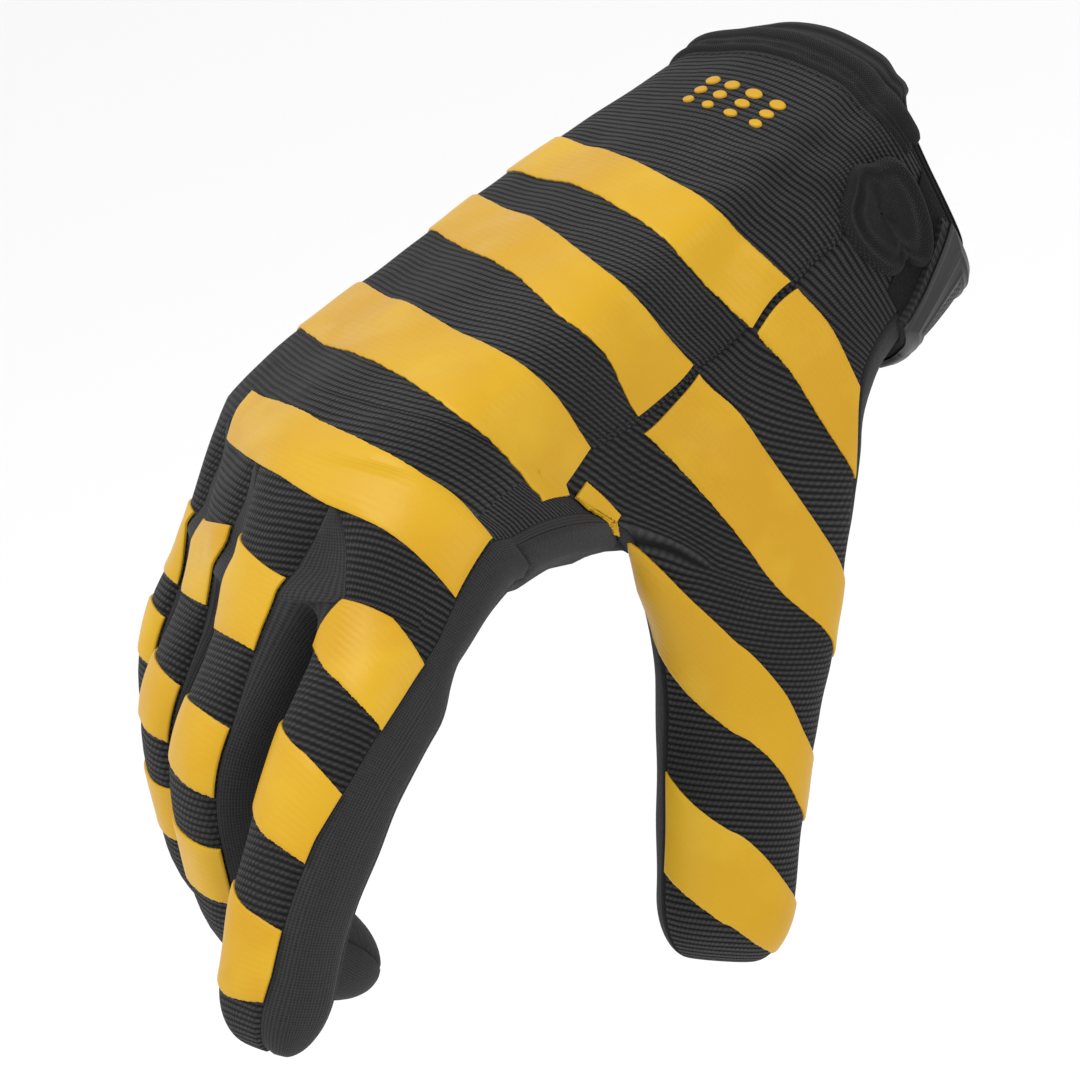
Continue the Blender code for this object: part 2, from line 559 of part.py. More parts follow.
def weld(grids, names):
    """One mesh of all grids with its doubles merged: points, point normals, wall depths and faces by panel."""
    bm = bmesh.new()
    for panel, grid in grids:
        rows, columns = grid.shape[:2]
        made = [[bm.verts.new(point) for point in row] for row in grid]
        for i in range(rows - 1):
            for j in range(columns - 1):
                face = bm.faces.new((made[i][j], made[i][j + 1], made[i + 1][j + 1], made[i + 1][j]))
                face.material_index = names.index(panel)
    bmesh.ops.remove_doubles(bm, verts=bm.verts, dist=0.02)
    bm.normal_update()
    soften_thumb_crease(bm)
    bmesh.ops.triangulate(bm, faces=bm.faces)
    bm.normal_update()
    bm.verts.index_update()
    points = np.array([v.co for v in bm.verts])
    normals = np.array([v.normal for v in bm.verts])
    lean = np.ones(len(points))
    for k, v in enumerate(bm.verts):
        normals[k], lean[k] = fairest_normal(normals[k], np.array([f.normal for f in v.link_faces]))
    panels = [[] for _ in names]
    for face in bm.faces:
        panels[face.material_index].append([v.index for v in face.verts])
    bm.free()
    face_fingertips_forward(points, normals)
    depth = WALL / np.maximum(lean, 0.8)
    depth = thin_tight_folds(points, normals, depth, [face for faces in panels for face in faces])
    return points, normals, depth, panels


def boundary_of(faces):
    """Edges that only one face uses, in that face's direction."""
    edges = [(a, b) for face in faces for a, b in zip(face, face[1:] + face[:1])]
    seen = set(edges)
    return [(a, b) for a, b in edges if (b, a) not in seen]


def walled_panel(name, points, normals, depth, faces, finish):
    """A panel with its wall's thickness inside its outer surface, held back half a gap from its seams."""
    used = sorted({k for face in faces for k in face})
    number = {k: i for i, k in enumerate(used)}
    outer = points[used].copy()
    normal = normals[used]
    border = [(number[a], number[b]) for a, b in boundary_of(faces)]
    inward = np.zeros_like(outer)
    for a, b in border:
        edge = outer[b] - outer[a]
        for k in (a, b):
            step = np.cross(normal[k], edge)
            inward[k] += step / max(np.linalg.norm(step), 1e-9)
    size = np.linalg.norm(inward, axis=1, keepdims=True)
    mitre = np.minimum(2 / np.maximum(size, 1e-6), 1.5)
    outer += np.where(size > 1e-6, inward / np.maximum(size, 1e-6) * mitre, 0) * SEAM_GAP / 2 * GAP_MARGIN
    inner = outer - normal * depth[used][:, None]
    count = len(used)
    made = [[number[k] for k in face] for face in faces]
    made += [[number[k] + count for k in reversed(face)] for face in faces]
    for a, b in border:
        if used[a] < used[b]:
            made += [[b, a, b + count], [a, a + count, b + count]]
        else:
            made += [[b, a, a + count], [b, a + count, b + count]]
    return make_object(name, np.vstack([outer, inner]), made, finish)


def shell_normals(surface, a, b):
    """Outward normals of a surface of two parameters, from small steps each way."""
    step = 1e-3
    along_a = surface(a + step, b) - surface(a - step, b)
    along_b = surface(a, b + step) - surface(a, b - step)
    normal = np.cross(along_b, along_a)
    return normal / np.maximum(np.linalg.norm(normal, axis=-1, keepdims=True), 1e-9)


def slab(name, base, top, finish):
    """A closed solid between two grids of the same shape, the base inside and the top outside."""
    rows, columns = base.shape[:2]
    count = rows * columns

    def at(i, j, layer):
        return layer * count + i * columns + j

    faces = []
    for i in range(rows - 1):
        for j in range(columns - 1):
            faces.append([at(i, j, 1), at(i, j + 1, 1), at(i + 1, j + 1, 1), at(i + 1, j, 1)])
            faces.append([at(i, j, 0), at(i + 1, j, 0), at(i + 1, j + 1, 0), at(i, j + 1, 0)])
    for i in range(rows - 1):
        for j, way in ((0, 1), (columns - 1, -1)):
            faces.append([at(i, j, 0), at(i, j, 1), at(i + 1, j, 1), at(i + 1, j, 0)][::way])
    for j in range(columns - 1):
        for i, way in ((0, -1), (rows - 1, 1)):
            faces.append([at(i, j, 0), at(i, j, 1), at(i, j + 1, 1), at(i, j + 1, 0)][::way])
    return make_object(name, np.vstack([base.reshape(-1, 3), top.reshape(-1, 3)]), faces, finish)


def film_patch(name, surface, columns, upper, lower, rows):
    """A printed stripe: a thin slab on the surface between its upper and lower edge."""
    t = spaced(0, 1, rows)[None, :]
    a = np.broadcast_to(columns[:, None], (len(columns), rows))
    b = upper[:, None] * (1 - t) + lower[:, None] * t
    points, normal = surface(a, b), shell_normals(surface, a, b)
    return slab(name, points + normal * FILM_LIFT, points + normal * (FILM_LIFT + FILM), "film")


def along_border(surface, columns, station):
    """Points and outward normals along a station of the glove."""
    a, b = np.asarray(columns, float), np.full(len(columns), float(station))
    return surface(a, b), shell_normals(surface, a, b)


def trunk_with_thumb(place, station):
    """The hand's surface by the wrist; above the opening it goes straight on."""
    rim = trunk(place, np.maximum(station, 0), True)
    step = 1e-3
    slope = (trunk(place, np.full(np.shape(place), step), True) - trunk(place, np.zeros(np.shape(place)), True)) / step
    return rim + slope * np.minimum(station, 0)[..., None]


def tube(name, path, radius, sides, finish, squash=1.0, outward=None):
    """A closed round bar along a path, its ends capped."""
    path = np.asarray(path)
    along = np.gradient(path, axis=0)
    along /= np.linalg.norm(along, axis=1, keepdims=True)
    first = outward - along * (outward * along).sum(1, keepdims=True)
    first /= np.linalg.norm(first, axis=1, keepdims=True)
    second = np.cross(along, first)
    turn = spaced(0, 2 * np.pi, sides + 1)[:-1]
    ring = (path[:, None] + (first[:, None] * np.cos(turn)[None, :, None] * squash
                             + second[:, None] * np.sin(turn)[None, :, None]) * radius)
    rows = len(path)
    faces = []
    for i in range(rows - 1):
        for j in range(sides):
            k = (j + 1) % sides
            faces.append([i * sides + j, i * sides + k, (i + 1) * sides + k, (i + 1) * sides + j])
    faces.append(list(range(sides))[::-1])
    faces.append([(rows - 1) * sides + j for j in range(sides)])
    return make_object(name, ring.reshape(-1, 3), faces, finish)


def make_binding():
    """The bound edge of the back round the wrist opening, from the slit over the back to the little finger's side."""
    place = spaced(SLIT_PLACE[0], -3.2, 34)
    rim, normal = along_border(trunk_with_thumb, np.mod(place, 14), 0)
    lift = BINDING_RADIUS + SEAM_GAP + 0.1
    up = np.array([0, 1.0, 0])
    centre = rim + up * lift
    tube("cuff_binding", centre, BINDING_RADIUS, 6, "binding", 1.0, normal)


def make_slit():
    """The curled end of the binding, which lies beside the slit."""
    turn = spaced(0, 2 * np.pi, 15)[:-1]
    rings = []
    for reach, height in ((0.25, 2.2), (0.62, 1.9), (0.86, 2.5), (1.0, 1.8), (1.0, 0.7)):
        place = CURL_PLACE + CURL_SIZE[0] * reach * np.cos(turn)
        station = CURL_STATION + CURL_SIZE[1] * reach * np.sin(turn)
        points, normal = trunk_with_thumb(place, station), shell_normals(trunk_with_thumb, place, station)
        rings.append(points + normal * (SEAM_GAP + height))
    base = []
    for reach in (1.0, 0.62, 0.25):
        place = CURL_PLACE + CURL_SIZE[0] * reach * np.cos(turn)
        station = CURL_STATION + CURL_SIZE[1] * reach * np.sin(turn)
        points, normal = trunk_with_thumb(place, station), shell_normals(trunk_with_thumb, place, station)
        base.append(points + normal * CURL_LIFT)
    rings += base
    sides = len(turn)
    points = np.vstack([rings[0].mean(0)[None] + 0] + rings + [base[-1].mean(0)[None]])
    faces = []
    for j in range(sides):
        k = (j + 1) % sides
        faces.append([0, 1 + k, 1 + j])
        for i in range(len(rings) - 1):
            low, high = 1 + i * sides, 1 + (i + 1) * sides
            faces.append([low + j, low + k, high + k, high + j])
        last = 1 + (len(rings) - 1) * sides
        faces.append([len(points) - 1, last + j, last + k])
    make_object("binding_curl", points, faces, "binding")


def offset_grid(place, station, height):
    points, normal = trunk_with_thumb(place, station), shell_normals(trunk_with_thumb, place, station)
    return points + normal * np.asarray(height)[..., None]


def slanted(places, across, along):
    """Places on a piece whose front edge slants: across and along run 0 to 1 over the piece."""
    front = places[0] + FRONT_SLANT * along
    return front + (places[1] - front) * across


def make_strap():
    """The closing strap, which runs from the slit round the thumb's side and across the palm, with its badge."""
    across, along = np.meshgrid(spaced(0, 1, 25), spaced(0, 1, 4), indexing="ij")
    place = slanted(STRAP_PLACES, across, along)
    end = np.clip((place - STRAP_PLACES[1] + 0.9) / 0.9, 0, 1)
    narrow = 0.5 * (1 - np.sqrt(1 - 0.75 * end ** 2))
    low, high = STRAP_STATIONS
    station = low + (high - low) * (narrow + (1 - 2 * narrow) * along)
    base = offset_grid(place, station, np.full(place.shape, STRAP_LIFT))
    top = offset_grid(place, station, np.full(place.shape, STRAP_LIFT + STRAP_WALL))
    slab("wrist_strap", base, top, "elastic")
    rise = STRAP_LIFT + STRAP_WALL + SEAM_GAP
    across, along = np.meshgrid(spaced(0, 1, 11), spaced(0, 1, 9), indexing="ij")
    place = slanted(BADGE_PLACES, across, along)
    low, high = BADGE_STATIONS
    station = low + (high - low) * along
    edge = np.minimum(np.minimum(across, 1 - across) / 0.09, np.minimum(along, 1 - along) / 0.09)
    profile = np.interp(edge, (0, 0.5, 1, 1.6, 2.4, 3.0), (0.35, 0.8, 1, 1, 0.6, 0.6)) * BADGE_HEIGHT
    base = offset_grid(place, station, np.full(place.shape, rise))
    top = offset_grid(place, station, rise + profile)
    slab("strap_badge", base, top, "rubber")


def make_band():
    """The elastic band inside the wrist opening, which shows above it."""
    place, station = np.meshgrid(spaced(*BAND_PLACES, 41), spaced(-BAND_RISE / PALM_LENGTH, BAND_DEPTH / PALM_LENGTH, 3),
                                 indexing="ij")
    deep = WALL + SEAM_GAP * 3
    slab("wrist_band", offset_grid(place, station, np.full(place.shape, -deep - BAND_WALL)),
         offset_grid(place, station, np.full(place.shape, -deep)), "elastic")


def hand_back(place, station):
    """The back of the hand by place and station, on both sides of the thumb's crotch."""
    place, station = np.broadcast_arrays(np.asarray(place, float), np.asarray(station, float))
    before = trunk(place, np.minimum(station, THUMB_CROTCH), True)
    after = hand(np.minimum(place, 4.5), np.maximum(station, THUMB_CROTCH))
    return np.where((station <= THUMB_CROTCH)[..., None], before, after)


def make_panels():
    grids = glove_grids()
    finishes = {"back_panel": "knit", "thumb_back_panel": "knit", "palm_panel": "suede", "thumb_palm_panel": "suede"}
    names = list(dict.fromkeys(panel for panel, _ in grids))
    points, normals, depth, panels = weld(grids, names)
    for panel, faces in zip(names, panels):
        walled_panel(panel, points, normals, depth, faces, finishes.get(panel, "stretch"))


def make_stripes():
    """The printed stripes of the back, the thumb and the fingers."""
    for name, surface, places, upper, lower in STRIPES:
        columns = np.array(places, float)
        count = int(round((columns[-1] - columns[0]) * 4)) + 2 if surface == "back" else 7
        fine = spaced(columns[0], columns[-1], count)
        high = np.interp(fine, columns, upper)
        low = np.interp(fine, columns, lower)
        film_patch(name, SURFACES[surface], fine, high, low, 3)


def finger_back(name):
    """The back strip of a finger as a surface of its own."""
    return lambda v, station: finger(name, "dorsal", v, station)


SURFACES = {"back": hand_back, "thumb": thumb, **{name: finger_back(name) for name in NAMES}}


def main():
    for old in list(bpy.data.objects):
        bpy.data.objects.remove(old)
    make_panels()
    make_binding()
    make_slit()
    make_strap()
    make_band()
    make_stripes()


main()
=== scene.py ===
"""Looks of a right-hand motocross glove: knit, suede, printed stripes, binding, strap and badge.

Every cloth surface is the glove's own form, worked out with numpy on fine grids from the same named sizes
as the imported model. Sizes are in millimetres and become metres in the meshes.
"""
import math
import bpy
import numpy as np
from mathutils import Matrix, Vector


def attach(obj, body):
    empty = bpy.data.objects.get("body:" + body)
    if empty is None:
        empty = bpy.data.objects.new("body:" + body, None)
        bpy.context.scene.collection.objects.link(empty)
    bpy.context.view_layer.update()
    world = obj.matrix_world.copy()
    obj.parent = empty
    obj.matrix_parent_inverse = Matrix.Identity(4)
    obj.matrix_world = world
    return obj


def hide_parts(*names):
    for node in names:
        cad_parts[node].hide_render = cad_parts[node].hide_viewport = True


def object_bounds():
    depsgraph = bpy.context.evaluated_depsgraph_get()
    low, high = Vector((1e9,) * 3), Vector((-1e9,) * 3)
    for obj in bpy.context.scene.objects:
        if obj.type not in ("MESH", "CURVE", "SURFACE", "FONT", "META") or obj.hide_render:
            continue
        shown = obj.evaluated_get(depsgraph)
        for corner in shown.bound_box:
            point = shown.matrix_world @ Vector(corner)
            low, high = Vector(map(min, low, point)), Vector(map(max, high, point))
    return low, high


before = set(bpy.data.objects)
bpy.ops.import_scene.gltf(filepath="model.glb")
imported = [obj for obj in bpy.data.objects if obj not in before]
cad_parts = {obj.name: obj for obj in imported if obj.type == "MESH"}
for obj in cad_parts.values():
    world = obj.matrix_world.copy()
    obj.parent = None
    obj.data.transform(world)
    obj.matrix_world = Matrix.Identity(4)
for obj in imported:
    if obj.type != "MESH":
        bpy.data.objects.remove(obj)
cad_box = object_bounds()

MM = 0.001
RADIANS = np.pi / 180

# Driving sizes
PALM_LENGTH = 128.0
PALM_DEPTH = 28.0
CUFF_WIDTH = 88.0
FINGER_LENGTH = 110.0
FINGER_WIDTH = 25.0
FINGER_DEPTH = 24.0
THUMB_LENGTH = 121.0
THUMB_WIDTH = 39.0
THUMB_DEPTH = 29.0
TIP_LENGTH = 13.0
TIP_FLAT = 0.42
WALL = 1.6
CREASE_REACH = 15.0
SEAM_GAP = 0.3
BAND_WALL = 1.3
BAND_DEPTH = 13.0
BAND_RISE = 9.0
STRAP_WALL = 1.6
BADGE_HEIGHT = 2.0

# A row for each finger. start and rise: place at the wrist, as shares of the cuff's width.
# palm: wrist to knuckle, share of the palm's length. first, second, third: bones, shares of the finger's
# length. Bends are in degrees. The last columns are shares of the finger's width and depth, at root and tip.
FINGER_COLUMNS = ("start rise yaw pitch palm splay knuckle middle_joint end_joint first second third"
                  " width tip_width depth tip_depth roll").split()
FINGERS = {
    "little": (-0.352, -0.023, -9, 4, 0.87, -2, 35, 36, 26, 0.40, 0.21, 0.22, 0.84, 0.78, 0.84, 0.68, -26),
    "ring": (-0.159, 0.011, -5, 2, 0.94, -1, 35, 43, 30, 0.46, 0.27, 0.25, 0.93, 0.82, 0.92, 0.72, -19),
    "middle": (0.023, 0.023, -1, 0, 0.99, 0, 35, 46, 42, 0.49, 0.29, 0.27, 0.97, 0.85, 0.98, 0.75, -13),
    "index": (0.193, 0.011, 4, 0, 0.96, 0, 30, 12, 12, 0.44, 0.25, 0.245, 1.00, 0.86, 1.00, 0.76, 2),
}
NAMES = list(FINGERS)
# Knuckle to finger crotch, as a share of the finger's length
CROTCH = {"little": 0.19, "ring": 0.21, "middle": 0.22, "index": 0.20}

# Thumb: start and rise as shares of the cuff's width, base as a share of the palm's length, bones as shares
# of the thumb's length, bends in degrees
THUMB = dict(start=0.307, rise=-0.068, yaw=-6, pitch=6, base=0.30, base_bend=48, splay=15, knuckle=5,
             end_joint=2, palm_bone=0.37, first=0.34, roll_at_wrist=10, roll=45,
             tip_width=0.68, tip_depth=0.68)

# Station 0 is the wrist opening, 1 the knuckles, 2 the finger crotches and 3 the fingertips.
THUMB_CROTCH = 0.93
# Height of the back above each finger's line, depth of the palm under it, and how far the sides stand out,
# as shares of the palm's depth
RING_COLUMNS = ("station back_little back_ring back_middle back_index palm_index palm_middle palm_ring"
                " palm_little ulnar radial").split()
RING = np.array([
    (0.00, 0.86, 1.00, 1.02, 0.96, 1.00, 1.07, 1.00, 0.71, 0.50, 0.54),
    (0.35, 0.79, 0.86, 0.88, 0.84, 0.79, 0.82, 0.79, 0.71, 0.57, 0.50),
    (0.70, 0.70, 0.75, 0.75, 0.70, 0.64, 0.68, 0.71, 0.71, 0.54, 0.48),
    (1.00, 0.59, 0.64, 0.64, 0.61, 0.59, 0.61, 0.61, 0.61, 0.48, 0.48),
    (1.50, 0.46, 0.54, 0.55, 0.54, 0.52, 0.54, 0.52, 0.50, 0.43, 0.46),
    (2.00, 0.39, 0.43, 0.45, 0.44, 0.44, 0.45, 0.43, 0.39, 0.39, 0.45),
    (3.00, 0.36, 0.39, 0.41, 0.41, 0.41, 0.41, 0.39, 0.36, 0.36, 0.43),
])
# The same for the thumb's side of the hand. lean: how far its ball leans away from the palm.
# pinch: how far the web between thumb and index is drawn in
THUMB_RING_COLUMNS = "station back palm side lean pinch".split()
THUMB_RING = np.array([
    (0.00, 0.92, 0.36, 0.34, 0.13, -0.06),
    (0.30, 0.74, 0.43, 0.47, 0.32, -0.04),
    (0.60, 0.59, 0.50, 0.61, 0.34, 0.15),
    (0.93, 0.52, 0.61, 0.64, 0.00, 0.50),
    (1.20, 0.46, 0.50, 0.61, 0.00, 0.50),
])
# The seam between the back and the thumb's panel: station, and place round the hand
SEAM = np.array([(0.0, 6.45), (0.2, 6.22), (0.27, 6.24), (0.37, 6.12), (0.46, 5.80), (0.58, 5.16),
                 (0.74, 4.82), (0.84, 4.66), (0.93, 4.50)])
PALM_EDGE = 7.0
# Shape of a finger's section, and where its strips meet at root and tip, in degrees from the thumb's side
SQUARENESS = 2.5
STRIP_ROOT = {"dorsal": (150, 32), "radial": (32, -35), "palmar": (-35, -145), "ulnar": (-145, -210)}
STRIP_TIP = {"dorsal": (145, 35), "radial": (35, -35), "palmar": (-35, -145), "ulnar": (-145, -215)}

# Places round the wrist: the slit between back and strap, and what closes it
SLIT_PLACE = (6.2, 7.0)
STRAP_PLACES = (6.66, 12.2)
STRAP_STATIONS = (0.02, 0.235)
BADGE_PLACES = (6.72, 8.5)
BADGE_STATIONS = (0.015, 0.24)
# How far the front edges of strap and badge slant round the wrist, in places
FRONT_SLANT = 0.42
BAND_PLACES = (0.1, 13.9)

# Sizes of what only shows, in millimetres: the cloth's wall, how deep a seam lies, the printed film's seat
# and height, the fold of the binding and its piping, the knit's rib and stitch, and the knuckles' valleys
WALL_SEEN = 1.1
SEAM_DEPTH = 0.55
FILM_SIT = 0.16
FILM_SEEN = 0.34
FOLD_WIDTH = 4.6
PIPING_RADIUS = 1.7
PIPING_RISE = 1.6
RIB_PITCH = 1.25
STITCH_PITCH = 1.05
VALLEY_DEPTH = 3.2
# Width of such a valley and place where the binding ends, in places round the hand
VALLEY_WIDTH = 0.2
BINDING_END = -3.2
# Shares: the strap's round end, how far the band is lower beside the slit, how far the fold narrows there
ROUND_END = 0.16
LOW_SIDE = 0.6
FOLD_TAPER = 0.35
# Rounds of softening at the thumb's crease, and the step in millimetres within which points are joined
CREASE_ROUNDS = 36
JOIN_STEP = 0.01
JOIN_SHIFT = 0.0037


def ease(low, high, value):
    """0 below low, 1 above high, and a smooth step between."""
    t = np.clip((value - low) / (high - low), 0, 1)
    return t * t * (3 - 2 * t)


def smooth_table(x, knots, values):
    """A smooth curve through the knots of a table."""
    slopes = np.gradient(values, knots)
    x = np.clip(x, knots[0], knots[-1])
    k = np.clip(np.searchsorted(knots, x, side="right") - 1, 0, len(knots) - 2)
    h = knots[k + 1] - knots[k]
    t = (x - knots[k]) / h
    rise = t * t * (3 - 2 * t)
    return ((1 - rise) * values[k] + rise * values[k + 1]
            + t * (1 - t) ** 2 * h * slopes[k] - t * t * (1 - t) * h * slopes[k + 1])


class Line:
    """The line down the middle of a digit: its heading turns at each joint, and the line sums the heading."""

    def __init__(self, start, yaw, pitch, bends, length, roll_at, roll):
        s = np.linspace(0, length * 1.2, 600)
        yaw = np.full(s.size, float(yaw))
        pitch = np.full(s.size, float(pitch))
        for at, turn_down, turn_out, reach in bends:
            share = ease(at - reach, at + reach, s)
            pitch += turn_down * share
            yaw += turn_out * share
        yaw, pitch = yaw * RADIANS, pitch * RADIANS
        forward = np.stack([np.sin(yaw) * np.cos(pitch), -np.cos(yaw) * np.cos(pitch), -np.sin(pitch)], 1)
        out = np.stack([np.sin(yaw) * np.sin(pitch), -np.cos(yaw) * np.sin(pitch), np.cos(pitch)], 1)
        side = np.cross(out, forward)
        turn = np.interp(s, roll_at, roll) * RADIANS
        cos, sin = np.cos(turn)[:, None], np.sin(turn)[:, None]
        step = (forward[1:] + forward[:-1]) / 2 * (s[1] - s[0])
        self.s = s
        self.length = length
        self.place = np.array(start) + np.vstack([np.zeros(3), np.cumsum(step, 0)])
        self.out = out * cos + side * sin
        self.side = side * cos - out * sin

    def at(self, s):
        """Place, outward direction and sideways direction at a length along the line."""
        return [np.stack([np.interp(s, self.s, a[:, k]) for k in range(3)], -1)
                for a in (self.place, self.out, self.side)]


def finger_line(name):
    """The line and the measures of one finger."""
    f = dict(zip(FINGER_COLUMNS, FINGERS[name]))
    knuckle = f["palm"] * PALM_LENGTH
    first, second, third = (f[key] * FINGER_LENGTH for key in ("first", "second", "third"))
    length = knuckle + first + second + third
    bends = [(knuckle, f["knuckle"], f["splay"], 0.145 * FINGER_LENGTH),
             (knuckle + first, f["middle_joint"], 0, 0.10 * FINGER_LENGTH),
             (knuckle + first + second, f["end_joint"], 0, 0.082 * FINGER_LENGTH)]
    start = (f["start"] * CUFF_WIDTH, 0, f["rise"] * CUFF_WIDTH)
    line = Line(start, f["yaw"], f["pitch"], bends, length,
                (0, 0.4 * knuckle, knuckle, length), (0, 0.5 * f["roll"], f["roll"], f["roll"]))
    return line, dict(knuckle=knuckle, crotch=knuckle + CROTCH[name] * FINGER_LENGTH,
                      width=f["width"] * FINGER_WIDTH, tip_width=f["tip_width"] * FINGER_WIDTH,
                      depth=f["depth"] * FINGER_DEPTH, tip_depth=f["tip_depth"] * FINGER_DEPTH)


def thumb_line():
    """The line and the measures of the thumb."""
    base = THUMB["base"] * PALM_LENGTH
    palm_bone, first = THUMB["palm_bone"] * THUMB_LENGTH, THUMB["first"] * THUMB_LENGTH
    length = base + THUMB_LENGTH
    bends = [(base, THUMB["base_bend"], THUMB["splay"], 0.20 * THUMB_LENGTH),
             (base + palm_bone, THUMB["knuckle"], 0, 0.10 * THUMB_LENGTH),
             (base + palm_bone + first, THUMB["end_joint"], 0, 0.08 * THUMB_LENGTH)]
    start = (THUMB["start"] * CUFF_WIDTH, 0, THUMB["rise"] * CUFF_WIDTH)
    roll = THUMB["roll_at_wrist"]
    line = Line(start, THUMB["yaw"], THUMB["pitch"], bends, length,
                (0, base, base + palm_bone, length), (roll, roll * 2, THUMB["roll"], THUMB["roll"]))
    return line, dict(crotch=base + 0.98 * palm_bone,
                      width=THUMB_WIDTH, tip_width=THUMB["tip_width"] * THUMB_WIDTH,
                      depth=THUMB_DEPTH, tip_depth=THUMB["tip_depth"] * THUMB_DEPTH)


LINES = {name: finger_line(name) for name in NAMES}
LINES["thumb"] = thumb_line()


def length_at(name, station):
    """Length along a digit's line at a station."""
    line, size = LINES[name]
    if name == "thumb":
        return station / THUMB_CROTCH * size["crotch"]
    stops = (size["knuckle"], size["crotch"], line.length)
    return np.interp(station, (0, 1, 2, 3), (0,) + stops)


def ring_column(name, station):
    """A column of the hand's table by station, in millimetres."""
    k = RING_COLUMNS.index(name)
    return (smooth_table(station, RING[:, 0], RING[:, k]) * PALM_DEPTH)[..., None]


def thumb_column(name, station):
    """A column of the thumb's table by station."""
    k = THUMB_RING_COLUMNS.index(name)
    return smooth_table(station, THUMB_RING[:, 0], THUMB_RING[:, k])[..., None]


def ring_points(station, with_thumb):
    """The points that a section of the hand passes through: ulnar side, four on the back, the thumb's side,
    and four on the palm."""
    back, palm = [], []
    for name in NAMES:
        place, out, side = LINES[name][0].at(length_at(name, station))
        back.append(place + out * ring_column("back_" + name, station))
        palm.insert(0, place - out * ring_column("palm_" + name, station))
        if name == "little":
            ulnar = place - side * ring_column("ulnar", station)
        if name == "index":
            radial = place + side * ring_column("radial", station)
    if not with_thumb:
        return np.stack([ulnar, *back, radial, *palm], -2)
    place, out, side = LINES["thumb"][0].at(length_at("thumb", station))
    thumb_back = place + out * thumb_column("back", station) * PALM_DEPTH
    lean, depth = thumb_column("lean", station), thumb_column("palm", station)
    thumb_palm = place + (side * lean - out * depth) * PALM_DEPTH
    thumb_side = place + side * thumb_column("side", station) * PALM_DEPTH
    middle = (back[3] + thumb_back + palm[0] + thumb_palm) / 4
    draw = 1 - thumb_column("pinch", station)
    web_back = middle + ((back[3] + thumb_back) / 2 - middle) * draw
    web_palm = middle + ((palm[0] + thumb_palm) / 2 - middle) * draw
    return np.stack([ulnar, *back, web_back, thumb_back, thumb_side, thumb_palm, web_palm, *palm], -2)


def trunk(place, station, with_thumb):
    """A point of the hand before its digits part: a closed smooth curve through the ring's points."""
    place, station = np.broadcast_arrays(np.asarray(place, float), np.asarray(station, float))
    points = ring_points(station, with_thumb)
    k = np.floor(place).astype(int)
    t = (place - k)[..., None]

    def point(step):
        pick = np.mod(k + step, points.shape[-2])[..., None, None]
        return np.take_along_axis(points, pick, -2)[..., 0, :]

    a, b, c, d = point(-1), point(0), point(1), point(2)
    square, cube = 2 * a - 5 * b + 4 * c - d, 3 * b - a - 3 * c + d
    return 0.5 * (2 * b + (c - a) * t + square * t ** 2 + cube * t ** 3)


def section(name, s, angle):
    """A point of a digit's own section: a squared oval, drawn to a short line at the fingertip."""
    line, size = LINES[name]
    place, out, side = line.at(s)
    t = np.clip((s - size["crotch"]) / (line.length - size["crotch"]), 0, 1)
    taper = 1 - (1 - t) ** 2 if name == "thumb" else t * t * (3 - 2 * t)
    half_width = (size["width"] + (size["tip_width"] - size["width"]) * taper) / 2
    half_depth = (size["depth"] + (size["tip_depth"] - size["depth"]) * taper) / 2
    end = np.clip((s - (line.length - TIP_LENGTH)) / TIP_LENGTH, 0, 1)
    end = np.sqrt(1 - end ** 2)
    cos, sin = np.cos(angle), np.sin(angle)
    across = np.sign(cos) * np.abs(cos) ** (2 / SQUARENESS) * half_width * (TIP_FLAT + (1 - TIP_FLAT) * end)
    up = np.sign(sin) * np.abs(sin) ** (2 / SQUARENESS) * half_depth * end
    return place + side * across[..., None] + out * up[..., None]


def parting(station, start, reach, nearness):
    """How far a digit has left the hand: at once at its sides, in a round crotch, slowly along its middle."""
    t = np.clip((station - start) / reach, 0, 1)
    at_side = np.sqrt(1 - (1 - t) ** 2)
    along_middle = t * t * (3 - 2 * t)
    return (along_middle + (at_side - along_middle) * nearness)[..., None]


FINGER_PARTING = 0.16
THUMB_PARTING = 0.30
HAND_PARTING = 0.17


def finger(name, strip, v, station):
    """A point of a finger past its crotch. v runs across the strip, round the finger from the ulnar side."""
    v, station = np.broadcast_arrays(np.asarray(v, float), np.asarray(station, float))
    j = NAMES.index(name)
    tip = np.clip(station - 2, 0, 1)
    start, end = (STRIP_ROOT[strip][k] + (STRIP_TIP[strip][k] - STRIP_ROOT[strip][k]) * tip for k in (0, 1))
    own = section(name, length_at(name, station), (start + (end - start) * v) * RADIANS)
    corners = {"dorsal": j + 0.5, "radial": j + 1.5, "palmar": 8.5 - j, "ulnar": 9.5 - j}
    outer = (strip, j) in (("radial", 3), ("ulnar", 0))
    if strip in ("dorsal", "palmar") or outer:
        hand_side = trunk(corners[strip] + v, station, False)
    else:
        far = {"radial": "palmar", "ulnar": "dorsal"}[strip]
        a, b = (trunk(corners[key], station, False) for key in (strip, far))
        hand_side = a + (b - a) * v[..., None]
    nearness = np.ones_like(v)
    if strip in ("dorsal", "palmar"):
        nearness = (2 * v - 1) ** 2
        free_end = {("dorsal", 0): v < 0.5, ("palmar", 0): v > 0.5,
                    ("dorsal", 3): v > 0.5, ("palmar", 3): v < 0.5}
        nearness = np.where(free_end.get((strip, j), False), 0, nearness)
    elif outer:
        nearness = np.zeros_like(v)
    share = parting(station, 2, FINGER_PARTING, nearness)
    return hand_side * (1 - share) + own * share


WEB_SHARE = 0.32


